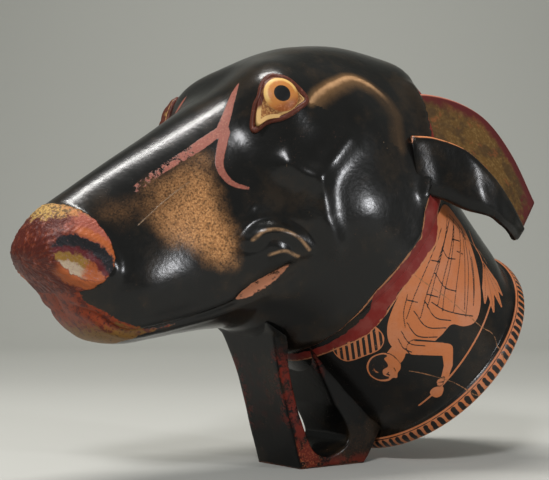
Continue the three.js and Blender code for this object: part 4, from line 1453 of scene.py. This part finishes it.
def makeHandleMaterial(look):
    made, tree, place = startMaterial("handle_paint", look["polish"])
    x, y, z = separate(place)
    middle = noise(place, 0.22, 5.0, 0.7)
    fine = noise(place, 1.3, 4.0, 0.7)
    # red shows through on the strap's sides and in mottled patches along its edges
    side = ease(stored(tree, "strapSide"), 0.35, 0.8)
    low = ease(z, 52.0, 40.0)
    front = ease(x, -4.0, -11.0)
    where = side * calc("MAXIMUM", front * low, ease(z, 6.0, 1.5) * 0.8)
    state = layer(glossCoat(tree, 1.0), where * ease(middle, 0.40, 0.56) * 0.8, look["red"], 0.4)
    mottle = ease(fine * 0.35 + middle, 0.66, 0.78) * low * (ease(abs(y), 8.0, 15.0) * 0.8 + 0.15)
    state = layer(state, mottle * ease(z, 12.0, 22.0) * front * 0.9, look["red"], 0.4)
    rub = side * ease(fine, 0.50, 0.62) * ease(z, 16.0, 4.0)
    state = layer(state, rub * (front * 0.8 + 0.1), look["orange"], 0.55, -0.02)
    sole = ease(middle * 3.0 + z, 2.1, 1.5) * 0.6
    return finishMaterial(made, *layer(state, sole, look["orange"], 0.6, -0.02))


earLook = {
    "polish": 0.36,
    "ochre": (0.086, 0.041, 0.006),
    "ochrePale": (0.150, 0.084, 0.024),
    "umber": (0.036, 0.017, 0.004),
    "rust": (0.17, 0.048, 0.012),
    "darkRed": (0.066, 0.005, 0.005),
    "rim": (0.44, 0.155, 0.10),
    "rimBright": (0.58, 0.21, 0.08),
    "root": (0.38, 0.20, 0.15),
}


def makeEarMaterial(look):
    made, tree, place = startMaterial("ear_paint", look["polish"])
    middle = noise(place, 0.18, 5.0, 0.65)
    fine = noise(place, 0.8, 4.0, 0.7)
    cloud = noise(place, 0.11, 4.0, 0.6)
    along, across, inside = [stored(tree, name) for name in ("alongEar", "acrossEar", "insideEar")]
    shift = (middle - 0.5) * 0.5
    # dull ochre lining, dark red towards the upper rim and the tip
    lining = mixed(ease(fine, 0.45, 0.68), look["ochre"], look["ochrePale"])
    dark = calc("MAXIMUM", ease(cloud, 0.46, 0.62), ease(along + shift, 0.34, 0.16))
    lining = mixed(dark * 0.75, lining, look["umber"])
    lining = mixed(ease(middle, 0.56, 0.66) * 0.6, lining, look["rust"])
    rim = ease(across - (along * 0.055 - 0.015) + shift * 0.14, 0.035, 0.0)
    lining = mixed(calc("MAXIMUM", rim, ease(along + shift, 0.86, 0.96)), lining, look["darkRed"])
    lining = mixed(ease(along + across * 0.08, 0.150, 0.125), lining, look["root"])
    state = layer(glossCoat(tree, 0.4), ease(inside, 0.55, 0.85), lining, 0.55, 0.03)
    # rubbed rims, brighter along the lower one
    edge = ease(inside, 0.10, 0.25) * ease(inside, 0.96, 0.86)
    upper = ease(across, 0.5, 0.4)
    kept = ease(middle + upper * -0.3, 0.62, 0.48)
    tone = mixed(upper, look["rimBright"], look["rim"])
    return finishMaterial(made, *layer(state, edge * (kept * 0.8 + 0.1), tone, 0.55))


eyeLook = {
    "polish": 0.3,
    "lidPolish": 0.25,
    "pupil": (0.006, 0.006, 0.007),
    "ball": (0.43, 0.165, 0.038),
    "ballLow": (0.25, 0.070, 0.016),
    "ballRim": (0.64, 0.40, 0.13),
    "mark": (0.46, 0.17, 0.07),
    "corner": (0.22, 0.085, 0.028),
    "cornerPale": (0.46, 0.25, 0.085),
    "lid": (0.085, 0.022, 0.013),
    "lidEdge": (0.56, 0.35, 0.14),
    "lidPink": (0.36, 0.13, 0.09),
}


def makeEyeMaterial(look):
    made, tree, place = startMaterial("eye_paint", look["polish"])
    forward, down, toEdge = [stored(tree, name) for name in ("eyeForward", "eyeDown", "toEdge")]
    reach = calc("SQRT", forward * forward + down * down)
    fine = noise(place, 1.2, 4.0, 0.65)
    jitter = (fine - 0.5) * 1.1
    corner = mixed(ease(fine, 0.46, 0.62), look["corner"], look["cornerPale"])
    edge = ease(toEdge + jitter * 0.5, -1.75, -1.35)
    colour = mixed(edge, corner, look["lid"])
    colour = mixed(edge * ease(down, 0.0, 2.0), colour, look["lidEdge"])
    ball = mixed(ease(down + jitter, 2.2, 5.2), look["ball"], look["ballLow"])
    ball = mixed(ease(fine, 0.52, 0.64) * 0.7, ball, look["mark"])
    ball = mixed(ease(reach + jitter, 5.1, 6.0) * ease(down, 2.5, -1.0), ball, look["ballRim"])
    colour = mixed(ease(reach + jitter * 0.3, 7.2, 6.8), colour, ball)
    colour = mixed(ease(reach + jitter * 0.2, 3.45, 3.2), colour, look["pupil"])
    return finishMaterial(made, colour, fine * 0.2 + 0.3, fine * 0.10)


def makeLidMaterial(look):
    made, tree, place = startMaterial("lid_paint", look["lidPolish"])
    fine = noise(place, 1.1, 4.0, 0.7)
    around = stored(tree, "aroundLid") + (fine - 0.5) * 0.25
    # the rim is dark red, rubbed to yellow on its inner edge and to pink outside
    colour = mixed(ease(0.5 - abs(around - 0.5), 0.10, 0.04), look["lid"], look["lidEdge"])
    colour = mixed(ease(fine, 0.58, 0.68), colour, look["lidPink"])
    return finishMaterial(made, colour, fine * 0.2 + 0.3, fine * 0.08)


headMaterial = makeHeadMaterial(headLook, noseLook, collarLook)
neckMaterial = makeNeckMaterial(neckLook, collarLook)
handleMaterial = makeHandleMaterial(handleLook)
earMaterial = makeEarMaterial(earLook)
eyeMaterial = makeEyeMaterial(eyeLook)
lidMaterial = makeLidMaterial(eyeLook)
lidNodes, lidSockets = sweepNodes("lid_sweep")
lids = [makeLids(f"lids_{name}", eyeShape, side, lidNodes, lidSockets, lidMaterial)
        for name, side in (("left", -1), ("right", 1))]
dress(head, headMaterial)
dress(neck, neckMaterial)
dress(handle, handleMaterial)
for pieces, material in ((ears, earMaterial), (eyes, eyeMaterial), (lids, lidMaterial)):
    for piece in pieces:
        dress(piece, material)
print("materials made")

# Floor, backdrop and light
stageLook = {
    "floor": (0.46, 0.46, 0.43),
    "world": (0.62, 0.64, 0.60),
    "worldStrength": 0.42,
}
lampSettings = [
    # place, aimed at, width, length, power, colour
    ((-0.16, 0.12, 1.05), (-0.05, 0.0, 0.12), 0.10, 0.70, 10.0, (1.0, 0.98, 0.95)),
    ((-0.80, -0.70, 0.85), (-0.05, 0.0, 0.10), 0.22, 0.22, 8.5, (0.98, 0.98, 1.0)),
    ((0.40, -0.95, 0.28), (0.0, 0.0, 0.10), 0.07, 0.12, 3.0, (0.96, 0.97, 1.0)),
    ((0.51, 0.68, 0.95), (1.26, 1.68, 0.50), 1.0, 0.40, 5.0, (1.0, 1.0, 0.97)),
]


def makeStage(look):
    # a floor that curves up into the backdrop
    steps = np.linspace(0, math.pi / 2, 14)
    bend = [(1.2 + 0.8 * math.sin(a), 0.8 - 0.8 * math.cos(a)) for a in steps]
    profile = [(-3.0, 0.0)] + bend + [(2.0, 4.0)]
    points, faces = [], []
    away = np.array(cameraSettings["direction"][:2]) / math.hypot(*cameraSettings["direction"][:2])
    side = np.array([-away[1], away[0]])
    for reach, height in profile:
        for width in (-4.0, 4.0):
            spot = away * reach + side * width
            points.append((spot[0], spot[1], height))
    for i in range(len(profile) - 1):
        faces.append((2 * i, 2 * i + 2, 2 * i + 3, 2 * i + 1))
    mesh = bpy.data.meshes.new("floor")
    mesh.from_pydata(points, [], faces)
    mesh.polygons.foreach_set("use_smooth", [True] * len(faces))
    floor = bpy.data.objects.new("floor", mesh)
    bpy.context.scene.collection.objects.link(floor)
    pale = bpy.data.materials.new("pale_floor")
    pale.use_nodes = True
    shader = pale.node_tree.nodes["Principled BSDF"]
    shader.inputs["Base Color"].default_value = (*look["floor"], 1)
    shader.inputs["Roughness"].default_value = 0.9
    mesh.materials.append(pale)


def makeLights(look, lamps):
    world = bpy.data.worlds.new("world")
    bpy.context.scene.world = world
    world.use_nodes = True
    background = world.node_tree.nodes["Background"]
    background.inputs["Color"].default_value = (*look["world"], 1)
    background.inputs["Strength"].default_value = look["worldStrength"]
    for number, (place, aim, width, height, power, colour) in enumerate(lamps):
        data = bpy.data.lights.new(f"lamp_{number}", "AREA")
        data.shape = "RECTANGLE"
        data.size = width
        data.size_y = height
        data.energy = power
        data.color = colour
        lamp = bpy.data.objects.new(f"lamp_{number}", data)
        lamp.location = place
        lamp.rotation_euler = (Vector(aim) - Vector(place)).to_track_quat("-Z", "Y").to_euler()
        bpy.context.scene.collection.objects.link(lamp)


bpy.context.scene.view_settings.view_transform = "Standard"
makeStage(stageLook)
makeLights(stageLook, lampSettings)
print("stage and lights made")
